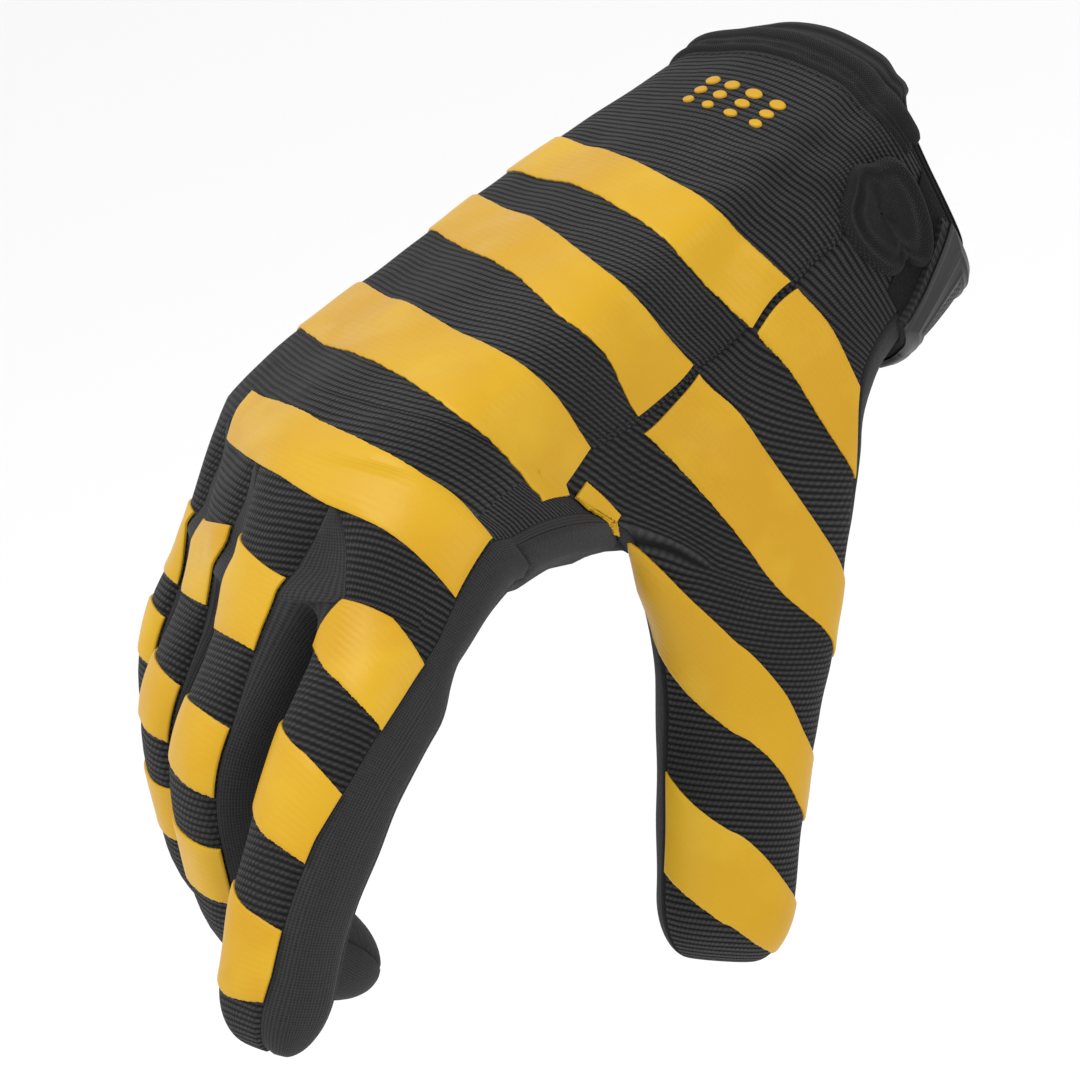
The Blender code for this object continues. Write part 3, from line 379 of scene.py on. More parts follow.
def web_curve(v, station):
    """Across the thumb's crotch on the index side: over the back's edge, down the web and onto the palm."""
    over_back = trunk(4.5 + np.clip(v / WEB_SHARE, 0, 1) / 2, station, True)
    over_palm = trunk(9 + np.clip((v - 1 + WEB_SHARE) / WEB_SHARE, 0, 1) / 2, station, True)
    down = np.clip((v - WEB_SHARE) / (1 - 2 * WEB_SHARE), 0, 1)[..., None]
    web = trunk(5, station, True) * (1 - down) + trunk(9, station, True) * down
    v = v[..., None]
    return np.where(v < WEB_SHARE, over_back, np.where(v > 1 - WEB_SHARE, over_palm, web))


def hand(place, station):
    """A point of the hand between the thumb's crotch and the finger crotches; places run 0 to 10."""
    place, station = np.broadcast_arrays(np.asarray(place, float), np.asarray(station, float))
    place = np.mod(place, 10)
    own = trunk(place, station, False)
    v = place - 4.5
    wall = (v > 0) & (v < 1)
    before = trunk(np.where(place <= 4.5, place, place + 4), station, True)
    before = np.where(wall[..., None], web_curve(np.clip(v, 0, 1), station), before)
    nearness = np.where(place <= 4.5, np.clip(place - 3.5, 0, 1), np.clip(6.5 - place, 0, 1)) ** 2
    share = parting(station, THUMB_CROTCH, HAND_PARTING, np.where(wall, 1, nearness))
    return before * (1 - share) + own * share


def thumb(place, station):
    """A point of the thumb past its crotch; places run 5 to 9 round its outside and 9 to 10 up its inside.
    The station goes on from the crotch, and the tip is one further."""
    place, station = np.broadcast_arrays(np.asarray(place, float), np.asarray(station, float))
    line, size = LINES["thumb"]
    along = station - THUMB_CROTCH
    s = size["crotch"] + (line.length - size["crotch"]) * along
    angle = np.where(place <= 9, 155 - (place - 5) * 77.5, -155 - (place - 9) * 50) * RADIANS
    own = section("thumb", s, angle)
    still = np.minimum(THUMB_CROTCH * s / size["crotch"], THUMB_CROTCH + 0.25)
    inside = np.clip(place - 9, 0, 1)[..., None]
    web = trunk(9, still, True) * (1 - inside) + trunk(5, still, True) * inside
    hand_side = np.where(place[..., None] > 9, web, trunk(np.minimum(place, 9), still, True))
    nearness = np.clip(1 - np.minimum(np.abs(place - 5), np.abs(place - 9)), 0, 1) ** 2
    share = parting(along, 0, THUMB_PARTING, np.where(place > 9, 1, nearness))
    return hand_side * (1 - share) + own * share


def seam_place(station):
    """Where the seam between the back and the thumb's panel lies."""
    return np.interp(station, SEAM[:, 0], SEAM[:, 1])


def back_surface(c, station):
    """The back of the hand: c runs 0 to 1 from the ulnar side to the seam with the thumb's panel."""
    c, station = np.broadcast_arrays(np.asarray(c, float), np.asarray(station, float))
    before = trunk(c * seam_place(station), station, True)
    after = hand(c * 4.5, np.maximum(station, THUMB_CROTCH))
    return np.where((station < THUMB_CROTCH)[..., None], before, after)


def thumb_back_surface(c, station):
    """The back of the thumb's panel: c runs 0 to 1 from the seam to the edge of the palm."""
    c, station = np.broadcast_arrays(np.asarray(c, float), np.asarray(station, float))
    seam = seam_place(station)
    before = trunk(seam + (PALM_EDGE - seam) * c, station, True)
    after = thumb(4.5 + (PALM_EDGE - 4.5) * np.maximum(c, 0.2), np.maximum(station, THUMB_CROTCH))
    return np.where((station <= THUMB_CROTCH)[..., None], before, after)


def spaced(low, high, count):
    """A row of evenly spaced values."""
    return np.linspace(low, high, count)


def finer(values, parts):
    """A row of stations or places with each step cut into equal parts."""
    values = np.asarray(values, float)
    steps = len(values) - 1
    return np.interp(spaced(0, steps, steps * parts + 1), np.arange(len(values)), values)


def round_crotch(start, reach, count):
    """Stations past a crotch, close together where the sides leave the hand steeply."""
    return start + reach * (1 - np.cos(spaced(0, np.pi / 2, count)))


def towards_tip(low, count):
    """Stations from low to the tip, close together at the tip, without the first."""
    return (low + (1 - low) * np.sin(spaced(0, np.pi / 2, count)))[1:]


FINE = 4
PALM_STATIONS = finer(spaced(0, THUMB_CROTCH, 13), FINE)
KNUCKLE_STATIONS = finer([*round_crotch(THUMB_CROTCH, HAND_PARTING, 7), *spaced(1.1, 2, 9)[1:]], FINE - 1)
FINGER_STATIONS = 2 + finer([*round_crotch(0, FINGER_PARTING, 6), *towards_tip(0.16, 15)], FINE - 1)
THUMB_STATIONS = THUMB_CROTCH + finer([*round_crotch(0, THUMB_PARTING, 8), *towards_tip(0.3, 14)], FINE - 1)
WALL_COLUMNS = finer([0, WEB_SHARE, 0.5, 1 - WEB_SHARE, 1], FINE)
SADDLE_STATION = KNUCKLE_STATIONS[12]


def lengths(points, axis):
    """Mean length in millimetres along one direction of a grid, summed from its first row."""
    step = np.linalg.norm(np.diff(points, axis=axis), axis=2).mean(1 - axis)
    return np.concatenate([[0], np.cumsum(step)])


# Stations, and where the seams of each finger's back lie across it there: 0 is the corner at its little
# finger's side, 1 the corner at its thumb's side, and past 1 the seam lies on the finger's side.
SEAM_ROWS = (0.93, 1.1, 1.3, 1.6, 1.95, 2.0, 2.06, 2.25, 2.5, 2.8, 3.0)
FINGER_SEAMS = {
    "little": ((0.03, 0.03, 0.03, 0.03, 0.03, 0.03, 0.03, 0.03, 0.03, 0.03, 0.03),
               (0.97, 0.97, 0.90, 0.85, 0.84, 0.84, 0.87, 0.96, 0.97, 0.97, 0.97)),
    "ring": ((0.03, 0.03, 0.09, 0.14, 0.18, 0.16, 0.12, 0.03, 0.03, 0.03, 0.03),
             (0.97, 0.97, 0.91, 0.85, 0.83, 0.83, 0.85, 0.96, 0.97, 0.97, 0.97)),
    "middle": ((0.03, 0.03, 0.08, 0.14, 0.18, 0.16, 0.12, 0.03, 0.03, 0.03, 0.03),
               (0.97, 0.97, 0.97, 0.88, 0.81, 0.81, 0.82, 0.96, 0.97, 0.97, 0.97)),
    "index": ((0.03, 0.03, 0.03, 0.18, 0.30, 0.26, 0.17, 0.03, 0.03, 0.03, 0.03),
              (1.24, 1.24, 1.24, 1.24, 1.24, 1.24, 1.22, 1.10, 0.86, 0.76, 0.62)),
}
# Stations where the cloth between the fingers starts on the back
FOLD_STARTS = {"fourchette_little_ring": 1.08, "fourchette_ring_middle": 1.12,
               "fourchette_middle_index": 1.27}
# Columns of the index finger's side that belong to the back
INDEX_SIDE = 3


def finger_seam(name, side, station):
    """Where a seam lies across a finger's back, by station."""
    return np.interp(station, SEAM_ROWS, FINGER_SEAMS[name][side])


def back_columns(name, station):
    """The grid's columns across a finger's back: two up to the first seam, then even ones, then two more."""
    low, high = finger_seam(name, 0, station)[None], finger_seam(name, 1, station)[None]
    if name == "index":
        return np.concatenate([low * 0, low / 2, low + (1 - low) * spaced(0, 1, 15)[:, None]])
    even = low + (high - low) * spaced(0, 1, 13)[:, None]
    return np.concatenate([low * 0, low / 2, even, (high + 1) / 2, high * 0 + 1])


def index_columns(station):
    """The index finger's columns from its inner corner over its back and down its side, along the seam."""
    first = back_columns("index", np.array([2.0]))[:, 0]
    first = np.concatenate([first, 1 + WALL_COLUMNS[1:]])
    low, high = finger_seam("index", 0, station)[None], finger_seam("index", 1, station)[None]
    root_low, root_high = first[2], 1 + WALL_COLUMNS[INDEX_SIDE]
    first = first[:, None]
    over = low + (first - root_low) / (root_high - root_low) * (high - low)
    down = high + (first - root_high) / (2 - root_high) * (2 - high)
    return np.where(first < root_low, first / root_low * low, np.where(first <= root_high, over, down))


def round_index(v, station):
    """The index finger's back and side as one surface: the back up to 1 and the side up to 2."""
    return np.where((v <= 1)[..., None], finger("index", "dorsal", np.minimum(v, 1), station),
                    finger("index", "radial", np.clip(v - 1, 0, 1), station))


def knuckles(place, station):
    """The hand past the thumb's crotch, drawn in between the knuckles by a bell curve across each valley."""
    valley = sum(np.exp(-((place - middle) / VALLEY_WIDTH) ** 2) * ease(start - 0.05, start + 0.35, station)
                 for middle, start in zip((1.5, 2.5, 3.5), FOLD_STARTS.values()))
    depth = VALLEY_DEPTH * valley * (1 - ease(1.72, 1.97, station))
    return hand(place, station) - shell_normals(hand, place, station) * depth[..., None]


def glove_grids():
    """Every stretch of the glove's surface as a grid of points with its panel and its cloth coordinates.

    The cloth coordinates are millimetres across and along the hand, measured on the surface."""
    grids = []

    def add(panel, points, along_from=0.0, chosen=True):
        across, along = lengths(points, 0), lengths(points, 1) + along_from
        cloth = np.stack(np.meshgrid(across, along, indexing="ij"), -1)
        chosen = np.broadcast_to(chosen, (points.shape[0] - 1, points.shape[1] - 1))
        grids.append((panel, points, cloth, chosen))

    def mesh(columns, stations):
        return np.meshgrid(columns, stations, indexing="ij")

    def add_wedges(points, stations, owner, along_from):
        """Adds a grid whose columns belong to the back or to the cloth between the fingers."""
        middle = (stations[1:] + stations[:-1]) / 2
        for panel in dict.fromkeys(owner):
            mine = np.array([name == panel for name in owner])[:, None]
            start = FOLD_STARTS.get(panel, 0)
            add(panel, points, along_from, mine & (middle > start))
            add("back_panel", points, along_from, mine & (middle <= start))

    palm_end, crotch = PALM_LENGTH * 0.9, PALM_LENGTH * 1.1
    joins = ["back_panel", *FOLD_STARTS, "back_panel"]
    station = KNUCKLE_STATIONS
    place = [np.broadcast_to(spaced(0, 0.5, 9)[:-1, None], (8, len(station)))]
    owner = ["back_panel"] * 8
    for j, name in enumerate(NAMES):
        columns = back_columns(name, station)
        place.append(j + 0.5 + (columns if j == 3 else columns[:-1]))
        owner += [joins[j]] * 2 + ["back_panel"] * 12 + [joins[j + 1]] * 2
    place = np.concatenate(place)
    q = np.broadcast_to(station[None], place.shape)
    add_wedges(knuckles(place, q), station, owner, palm_end)
    c, q = mesh(place[:, 0] / 4.5, PALM_STATIONS)
    add("back_panel", back_surface(c, q))
    c, q = mesh(finer([0, *spaced(0.2, 1, 9)], FINE), PALM_STATIONS)
    add("thumb_back_panel", thumb_back_surface(c, q))
    for panel, places in (("thumb_back_panel", spaced(5, PALM_EDGE, 33)),
                          ("thumb_palm_panel", spaced(PALM_EDGE, 9, 33)),
                          ("thumb_palm_panel", finer([9, 9.5, 10], 2 * FINE))):
        add(panel, thumb(*mesh(places, THUMB_STATIONS)), palm_end)
    palm_places = [*spaced(PALM_EDGE, 9, 33), *finer([9, 9.5], FINE)[1:], *spaced(9.5, 14, 73)[1:]]
    u, q = mesh(palm_places, PALM_STATIONS)
    add("palm_panel", trunk(u, q, True))
    u, q = mesh([*spaced(5.5, 10, 73)[:-1], 10 - 1e-9], KNUCKLE_STATIONS)
    add("palm_panel", hand(u, q), palm_end)
    v, q = mesh(WALL_COLUMNS, station)
    wall = hand(4.5 + v, q)
    middle = (station[1:] + station[:-1])[None] / 2
    column = np.arange(len(WALL_COLUMNS) - 1)[:, None]
    add("back_panel", wall, palm_end, (column < INDEX_SIDE) & (middle > 0))
    beside_thumb = (middle > SADDLE_STATION) | (column < FINE)
    add("index_side_panel", wall, palm_end, (column >= INDEX_SIDE) & beside_thumb)
    add("palm_panel", wall, palm_end, (column >= FINE) & (middle <= SADDLE_STATION))
    station = FINGER_STATIONS
    for j, name in enumerate(NAMES):
        v, q = mesh(spaced(0, 1, 17), station)
        add("palm_panel", finger(name, "palmar", v, q), crotch)
        if j == 3:
            v = index_columns(station)
            side = len(WALL_COLUMNS) - 1 - INDEX_SIDE
            owner = [joins[j]] * 2 + ["back_panel"] * (14 + INDEX_SIDE) + ["index_side_panel"] * side
            points = round_index(v, np.broadcast_to(station[None], v.shape))
        else:
            v = back_columns(name, station)
            owner = [joins[j]] * 2 + ["back_panel"] * 12 + [joins[j + 1]] * 2
            points = finger(name, "dorsal", v, np.broadcast_to(station[None], v.shape))
        add_wedges(points, station, owner, crotch)
        narrow = mesh(spaced(0, 1, 13), station)
        if j < 3:
            add(joins[j + 1], finger(name, "radial", *narrow), crotch)
        if j > 0:
            add(joins[j], finger(name, "ulnar", *narrow), crotch)
        else:
            add("little_side_panel", finger(name, "ulnar", *mesh(spaced(0, 1, 17), station)), crotch)
    return grids


def grid_faces(values):
    """The four corners' values of every face of a grid."""
    return np.stack([values[:-1, :-1], values[:-1, 1:], values[1:, 1:], values[1:, :-1]], 2)


def closed_faces(count, sides, axis):
    """The point numbers of every face of a grid that closes on itself along an axis."""
    number = np.arange(count * sides).reshape(count, sides)
    return grid_faces(np.concatenate([number, np.take(number, [0], axis)], axis)).reshape(-1, 4)


def face_edges(faces):
    """The edges of four-cornered faces, in the faces' direction."""
    return np.concatenate([faces[:, [0, 1]], faces[:, [1, 2]], faces[:, [2, 3]], faces[:, [3, 0]]])


def weld(grids):
    """All grids as one surface with its doubles joined: points, and faces and cloth coordinates by panel."""
    points = np.concatenate([points.reshape(-1, 3) for _, points, _, _ in grids])
    whole = np.round((points + JOIN_SHIFT) / JOIN_STEP).astype(np.int64)
    _, first, joined = np.unique(whole, axis=0, return_index=True, return_inverse=True)
    joined = joined.reshape(-1)
    panels, start = {}, 0
    for panel, grid, cloth, chosen in grids:
        rows, columns = grid.shape[:2]
        number = start + np.arange(rows * columns).reshape(rows, columns)
        start += rows * columns
        panels.setdefault(panel, []).append((joined[grid_faces(number)[chosen]], grid_faces(cloth)[chosen]))
    return points[first], {name: tuple(map(np.concatenate, zip(*parts))) for name, parts in panels.items()}


def soften_crease(points, faces):
    """Evens out the palm's side of the thumb's crease: points move half way to their neighbours' middle."""
    crease = trunk(9, spaced(0.14, THUMB_CROTCH, 24), True)
    normal = point_normals(points, faces)
    away = np.min([np.linalg.norm(points - place, axis=1) for place in crease], 0)
    share = np.clip((CREASE_REACH - away) / 4, 0, 1) * (normal[:, 2] < 0.35) * (points[:, 1] < -0.5)
    near, far = face_edges(faces).T
    size = len(points)
    count = np.bincount(near, minlength=size) + np.bincount(far, minlength=size)
    for _ in range(CREASE_ROUNDS):
        total = np.stack([np.bincount(near, points[far, k], size) + np.bincount(far, points[near, k], size)
                          for k in range(3)], 1)
        middle = total / np.maximum(count, 1)[:, None]
        points = points + (middle - points) * (share * 0.5)[:, None]
    return points


def face_normals(points, faces):
    """Area-weighted normals of four-cornered faces, from the cross of their diagonals."""
    a, b, c, d = (points[faces[:, k]] for k in range(4))
    return np.cross(c - a, d - b) / 2


def point_normals(points, faces):
    """Unit normals at points: the sum of the normals of the faces around each."""
    across = face_normals(points, faces)
    total = np.zeros_like(points)
    for k in range(4):
        for axis in range(3):
            total[:, axis] += np.bincount(faces[:, k], across[:, axis], len(points))
    return total / np.maximum(np.linalg.norm(total, axis=1, keepdims=True), 1e-9)


def folds(points):
    """Height of the soft unevenness and folds of worn cloth, as a sum of slanting waves in millimetres."""
    x, y, z = (points[..., k] for k in range(3))
    broad = 0.35 * np.sin(0.085 * x + 0.06 * y + 0.5) * np.sin(0.05 * y - 0.09 * z)
    small = 0.12 * np.sin(0.31 * x - 0.22 * y + 0.17 * z) * np.sin(0.19 * z + 0.27 * y + 1.0)
    by_curl = np.exp(-((y + 30) / 22) ** 2) * ease(8, 22, x) * ease(-12, 8, z)
    by_thumb = np.exp(-((y + 66) / 20) ** 2 - ((x - 30) / 9) ** 2)
    drawn = 0.30 * by_curl * np.sin(0.55 * y - 0.35 * x + 0.2 * z)
    return broad + small + drawn + 0.45 * by_thumb * np.sin(0.36 * y + 0.30 * z)


# Base colours of the finishes
COLOURS = {
    # knit_dark: the knit's colour deep in its grooves and between its loops, a painted shade
    "knit": (0.050, 0.050, 0.052), "knit_dark": (0.002, 0.002, 0.0022),
    "film": (0.600, 0.345, 0.006), "film_deep": (0.540, 0.285, 0.003), "film_pale": (0.650, 0.405, 0.018),
    "suede": (0.009, 0.009, 0.0095), "suede_pale": (0.022, 0.022, 0.023),
    "stretch": (0.034, 0.034, 0.035), "stretch_dark": (0.010, 0.010, 0.0105),
    "jersey": (0.026, 0.026, 0.027), "jersey_dark": (0.006, 0.006, 0.0065),
    # The slit's near-black colour is a painted shade of its recess
    "rubber": (0.008, 0.008, 0.0085), "rubber_pale": (0.030, 0.030, 0.031), "slit_shade": (0.002, 0.002, 0.002),
}


class Finish:
    """A node material in the making, with short words for the nodes that the finishes share."""

    def __init__(self, name, roughness, sheen=0.0, sheen_roughness=0.5):
        self.material = bpy.data.materials.new(name)
        self.material.use_nodes = True
        self.tree = self.material.node_tree
        self.shader = self.tree.nodes["Principled BSDF"]
        self.shader.inputs["Roughness"].default_value = roughness
        self.shader.inputs["Sheen Weight"].default_value = sheen
        self.shader.inputs["Sheen Roughness"].default_value = sheen_roughness
        self.shader.inputs["Specular IOR Level"].default_value = 0.2

    def node(self, kind, **settings):
        """A new node with some of its settings."""
        made = self.tree.nodes.new(kind)
        for key, value in settings.items():
            setattr(made, key, value)
        return made

    def join(self, source, target):
        """A link from one socket to another."""
        self.tree.links.new(source, target)

    def cloth(self):
        """Millimetres across and along the cloth, from the piece's own map."""
        source = self.node("ShaderNodeUVMap", uv_map="cloth")
        parts = self.node("ShaderNodeSeparateXYZ")
        self.join(source.outputs["UV"], parts.inputs[0])
        return parts.outputs[0], parts.outputs[1]

    def noise(self, scale, detail=2.0, rough=0.5):
        """Soft noise in the piece's own space, with a scale in waves for each metre."""
        made = self.node("ShaderNodeTexNoise")
        made.inputs["Scale"].default_value = scale
        made.inputs["Detail"].default_value = detail
        made.inputs["Roughness"].default_value = rough
        self.join(self.node("ShaderNodeTexCoord").outputs["Object"], made.inputs["Vector"])
        return made.outputs["Fac"]

    def math(self, kind, a, b=None, c=None):
        """A sum or product of numbers and sockets."""
        made = self.node("ShaderNodeMath", operation=kind)
        for k, value in enumerate((a, b, c)):
            if value is None:
                continue
            if isinstance(value, (int, float)):
                made.inputs[k].default_value = value
            else:
                self.join(value, made.inputs[k])
        return made.outputs[0]

    def wave(self, distance, pitch):
        """A row of smooth ribs with a pitch in millimetres: half of one plus the sine."""
        turned = self.math("MULTIPLY", distance, 2 * math.pi / pitch)
        return self.math("MULTIPLY_ADD", self.math("SINE", turned), 0.5, 0.5)

    def spread(self, value, low, high):
        """Stretches a value so that low gives 0 and high gives 1."""
        made = self.node("ShaderNodeMapRange")
        self.join(value, made.inputs["Value"])
        made.inputs["From Min"].default_value = low
        made.inputs["From Max"].default_value = high
        return made.outputs["Result"]

    def blend(self, share, first, second):
        """A mix of two colours, each a name of the table or a socket."""
        made = self.node("ShaderNodeMix", data_type="RGBA")
        self.join(share, made.inputs[0])
        for socket, colour in ((made.inputs[6], first), (made.inputs[7], second)):
            if isinstance(colour, str):
                socket.default_value = (*COLOURS[colour], 1)
            else:
                self.join(colour, socket)
        return made.outputs[2]

    def colour(self, source):
        """Sets the base colour."""
        self.join(source, self.shader.inputs["Base Color"])

    def relief(self, height, distance):
        """Bumps by a height from 0 to 1, whose full height is a distance in millimetres."""
        made = self.node("ShaderNodeBump")
        made.inputs["Strength"].default_value = 1.0
        made.inputs["Distance"].default_value = distance * MM
        self.join(height, made.inputs["Height"])
        self.join(made.outputs["Normal"], self.shader.inputs["Normal"])


def knit_finish():
    """Black rib knit of the back and the thumb.

    Ribs lie across the hand with grooves between them; the colour is darker in the grooves and between
    the loops by the bump's height, a painted shade. Each rib is a row of small loops whose columns lean a
    little, and the ribs wander slightly."""
    finish = Finish("rib_knit", 0.85, 0.06, 0.45)
    across, along = finish.cloth()
    along = finish.math("ADD", along, finish.math("MULTIPLY_ADD", finish.noise(55, 2), 0.9, -0.45))
    ridge = finish.math("POWER", finish.wave(along, RIB_PITCH), 0.8)
    loops = finish.wave(finish.math("MULTIPLY_ADD", along, 0.4, across), STITCH_PITCH)
    yarn = finish.noise(1500, 3, 0.7)
    height = finish.math("MULTIPLY", ridge, finish.math("MULTIPLY_ADD", loops, 0.35, 0.65))
    worn = finish.math("MULTIPLY_ADD", finish.spread(finish.noise(38, 3), 0.35, 0.7), 0.3, 0.7)
    # Darker where the bump is low, in the grooves and between the loops: painted shade. The slow patches and
    # the yarn noise are random tone.
    shade = finish.math("MULTIPLY", finish.spread(height, 0.12, 0.9), worn)
    shade = finish.math("MULTIPLY", shade, finish.math("MULTIPLY_ADD", yarn, 1.1, 0.4))
    finish.colour(finish.blend(shade, "knit_dark", "knit"))
    finish.relief(finish.math("MULTIPLY_ADD", yarn, 0.2, height), 0.75)
    return finish.material


def film_finish():
    """Yellow printed film: satin and rubbery, with broad tone, fine specks, and a trace of the ribs below."""
    finish = Finish("yellow_film", 0.42)
    finish.shader.inputs["Specular IOR Level"].default_value = 0.3
    _, along = finish.cloth()
    tone = finish.blend(finish.spread(finish.noise(22, 2), 0.35, 0.68), "film_deep", "film")
    bright = finish.spread(finish.noise(55, 3), 0.5, 0.8)
    tone = finish.blend(finish.math("MULTIPLY", bright, 0.6), tone, "film_pale")
    specks = finish.spread(finish.noise(1500, 2, 0.7), 0.69, 0.78)
    tone = finish.blend(finish.math("MULTIPLY", specks, 0.35), tone, "film_deep")
    finish.colour(tone)
    ribs = finish.math("MULTIPLY", finish.wave(along, RIB_PITCH), 0.18)
    grain = finish.math("ADD", ribs, finish.math("MULTIPLY", finish.noise(1100, 3, 0.6), 0.35))
    finish.relief(grain, 0.16)
    gloss = finish.math("MULTIPLY_ADD", finish.noise(90, 3), 0.22, 0.32)
    finish.join(gloss, finish.shader.inputs["Roughness"])
    return finish.material


def suede_finish():
    """Black synthetic suede of the palm: short nap in patches brushed light and dark."""
    finish = Finish("suede", 0.95, 0.08, 0.6)
    nap = finish.noise(1300, 4, 0.7)
    brushed = finish.spread(finish.noise(45, 4, 0.6), 0.35, 0.68)
    share = finish.math("MULTIPLY_ADD", nap, 0.6, finish.math("MULTIPLY", brushed, 0.4))
    finish.colour(finish.blend(share, "suede", "suede_pale"))
    finish.relief(nap, 0.35)
    return finish.material


def stretch_finish(name, pitch):
    """Fine stretch knit of the finger sides: close lines along the finger."""
    finish = Finish(name, 0.85, 0.06, 0.4)
    across, along = finish.cloth()
    lines = finish.wave(across, pitch)
    loops = finish.wave(along, 0.55)
    height = finish.math("MULTIPLY_ADD", lines, 0.6, finish.math("MULTIPLY", loops, 0.4))
    height = finish.math("MULTIPLY_ADD", finish.noise(1400, 3, 0.7), 0.8, height)
    finish.colour(finish.blend(finish.spread(height, 0.3, 1.3), "stretch_dark", "stretch"))
    finish.relief(height, 0.09)
    return finish.material


def jersey_finish():
    """Fine jersey of the binding and its curled end: tiny loops set on the slant."""
    finish = Finish("jersey_binding", 0.9, 0.06, 0.4)
    across, along = finish.cloth()
    a = finish.wave(finish.math("ADD", across, along), 0.62)
    b = finish.wave(finish.math("SUBTRACT", across, along), 0.62)
    height = finish.math("MULTIPLY", a, b)
    fluff = finish.noise(900, 3, 0.7)
    share = finish.math("MULTIPLY_ADD", height, 0.7, finish.math("MULTIPLY", fluff, 0.3))
    finish.colour(finish.blend(share, "jersey_dark", "jersey"))
    finish.relief(share, 0.3)
    return finish.material


def elastic_finish():
    """Woven elastic of the band and the strap: fine ribs along it, cut by cross threads."""
    finish = Finish("woven_elastic", 0.9, 0.05, 0.5)
    across, along = finish.cloth()
    ribs = finish.wave(along, 1.6)
    threads = finish.wave(across, 0.6)
    height = finish.math("MULTIPLY_ADD", ribs, 0.7, finish.math("MULTIPLY", threads, 0.3))
    finish.colour(finish.blend(finish.spread(height, 0.1, 0.9), "stretch_dark", "stretch"))
    finish.relief(height, 0.3)
    return finish.material


def rubber_finish():
    """Moulded rubber of the badge: satin, a little paler on its sharp outward edges."""
    finish = Finish("moulded_rubber", 0.42)
    finish.shader.inputs["Specular IOR Level"].default_value = 0.5
    edge = finish.node("ShaderNodeNewGeometry").outputs["Pointiness"]
    finish.colour(finish.blend(finish.spread(edge, 0.51, 0.56), "rubber", "rubber_pale"))
    finish.relief(finish.noise(1600, 2, 0.6), 0.05)
    return finish.material


def slit_shade_finish():
    """A near-black sheet in the slit's recess, its darkness a painted shade of the recess, with a fuzzy pile
    bump.
    """
    finish = Finish("slit_shade_pile", 0.95, 0.03, 0.7)
    fuzz = finish.noise(1900, 3, 0.8)
    finish.colour(finish.blend(finish.spread(fuzz, 0.5, 0.8), "slit_shade", "stretch_dark"))
    finish.relief(fuzz, 0.7)
    return finish.material


def thread_finish():
    """Black sewing thread."""
    finish = Finish("black_thread", 0.55)
    finish.colour(finish.blend(finish.noise(2200, 2, 0.6), "stretch_dark", "stretch"))
    return finish.material


def make_mesh(name, points, faces, corners, finish, slot, replaced=()):
    """A piece of the glove from points in millimetres, faces and cloth coordinates by face corner."""
    mesh = bpy.data.meshes.new(name)
    mesh.vertices.add(len(points))
    mesh.vertices.foreach_set("co", (points * MM).astype(np.float32).ravel())
    mesh.loops.add(faces.size)
    mesh.loops.foreach_set("vertex_index", faces.astype(np.int32).ravel())
    mesh.polygons.add(len(faces))
    mesh.polygons.foreach_set("loop_start", np.arange(0, faces.size, faces.shape[1], dtype=np.int32))
    mesh.update(calc_edges=True)
    mesh.validate()
    layer = mesh.uv_layers.new(name="cloth")
    if len(layer.data) == faces.size:
        layer.data.foreach_set("uv", corners.astype(np.float32).ravel())
    mesh.shade_smooth()
    mesh.set_sharp_from_angle(angle=60 * RADIANS)
    made = bpy.data.objects.new(name, mesh)
    bpy.context.scene.collection.objects.link(made)
    mesh.materials.append(finish)
    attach(made, "root")
    if replaced:
        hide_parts(*replaced)


def border_edges(faces):
    """Edges used by one face alone, in that face's direction."""
    edges = face_edges(faces)
    edges = edges[edges[:, 0] != edges[:, 1]]
    size = edges.max() + 1
    forward, back = edges[:, 0] * size + edges[:, 1], edges[:, 1] * size + edges[:, 0]
    return edges[~np.isin(forward, back)]


def panel_piece(name, points, normals, lean, faces, corners, finish, slot):
    """A cloth panel with a wall: its outside, its inside and the cut edge between them.

    Points on a seam sink by the seam's depth and draw back a little. Where faces lean away from a point's
    normal the wall is thinner, so that it doesn't cross itself."""
    used, local = np.unique(faces, return_inverse=True)
    faces = local.reshape(faces.shape)
    outer, normal = points[used].copy(), normals[used]
    border = border_edges(faces)
    at_rim = outer[:, 1] > -0.3
    inward = np.zeros_like(outer)
    along = outer[border[:, 1]] - outer[border[:, 0]]
    for k in (0, 1):
        step = np.cross(normal[border[:, k]], along)
        step /= np.maximum(np.linalg.norm(step, axis=1, keepdims=True), 1e-9)
        np.add.at(inward, border[:, k], step)
    inward /= np.maximum(np.linalg.norm(inward, axis=1, keepdims=True), 1e-6)
    sink = np.zeros(len(outer))
    sink[np.unique(border)] = SEAM_DEPTH
    sink[at_rim] = 0
    depth = WALL_SEEN * np.clip(lean[used], 0.05, 1)
    sink = np.minimum(sink, depth * 0.6)
    inner = outer - normal * depth[:, None]
    outer = outer - normal * sink[:, None] + inward * np.where(at_rim, 0.0, 0.06)[:, None]
    count = len(used)
    rim = np.stack([border[:, 1], border[:, 0], border[:, 0] + count, border[:, 1] + count], 1)
    all_faces = np.concatenate([faces, faces[:, ::-1] + count, rim])
    all_corners = np.concatenate([corners, corners[:, ::-1], np.zeros((len(rim), 4, 2))])
    make_mesh(name + "_cloth", np.concatenate([outer, inner]), all_faces, all_corners, finish, slot, [name])


def shell_normals(surface, a, b):
    """Outward normals of a surface of two parameters, from small steps each way."""
    step = 1e-3
    along_a = surface(a + step, b) - surface(a - step, b)
    along_b = surface(a, b + step) - surface(a, b - step)
    normal = np.cross(along_b, along_a)
    return normal / np.maximum(np.linalg.norm(normal, axis=-1, keepdims=True), 1e-9)


def raised(surface, a, b, height):
    """Points of a surface of two parameters at a height above it, with the cloth's folds."""
    points, normal = surface(a, b), shell_normals(surface, a, b)
    return points + normal * (folds(points) + height)[..., None]


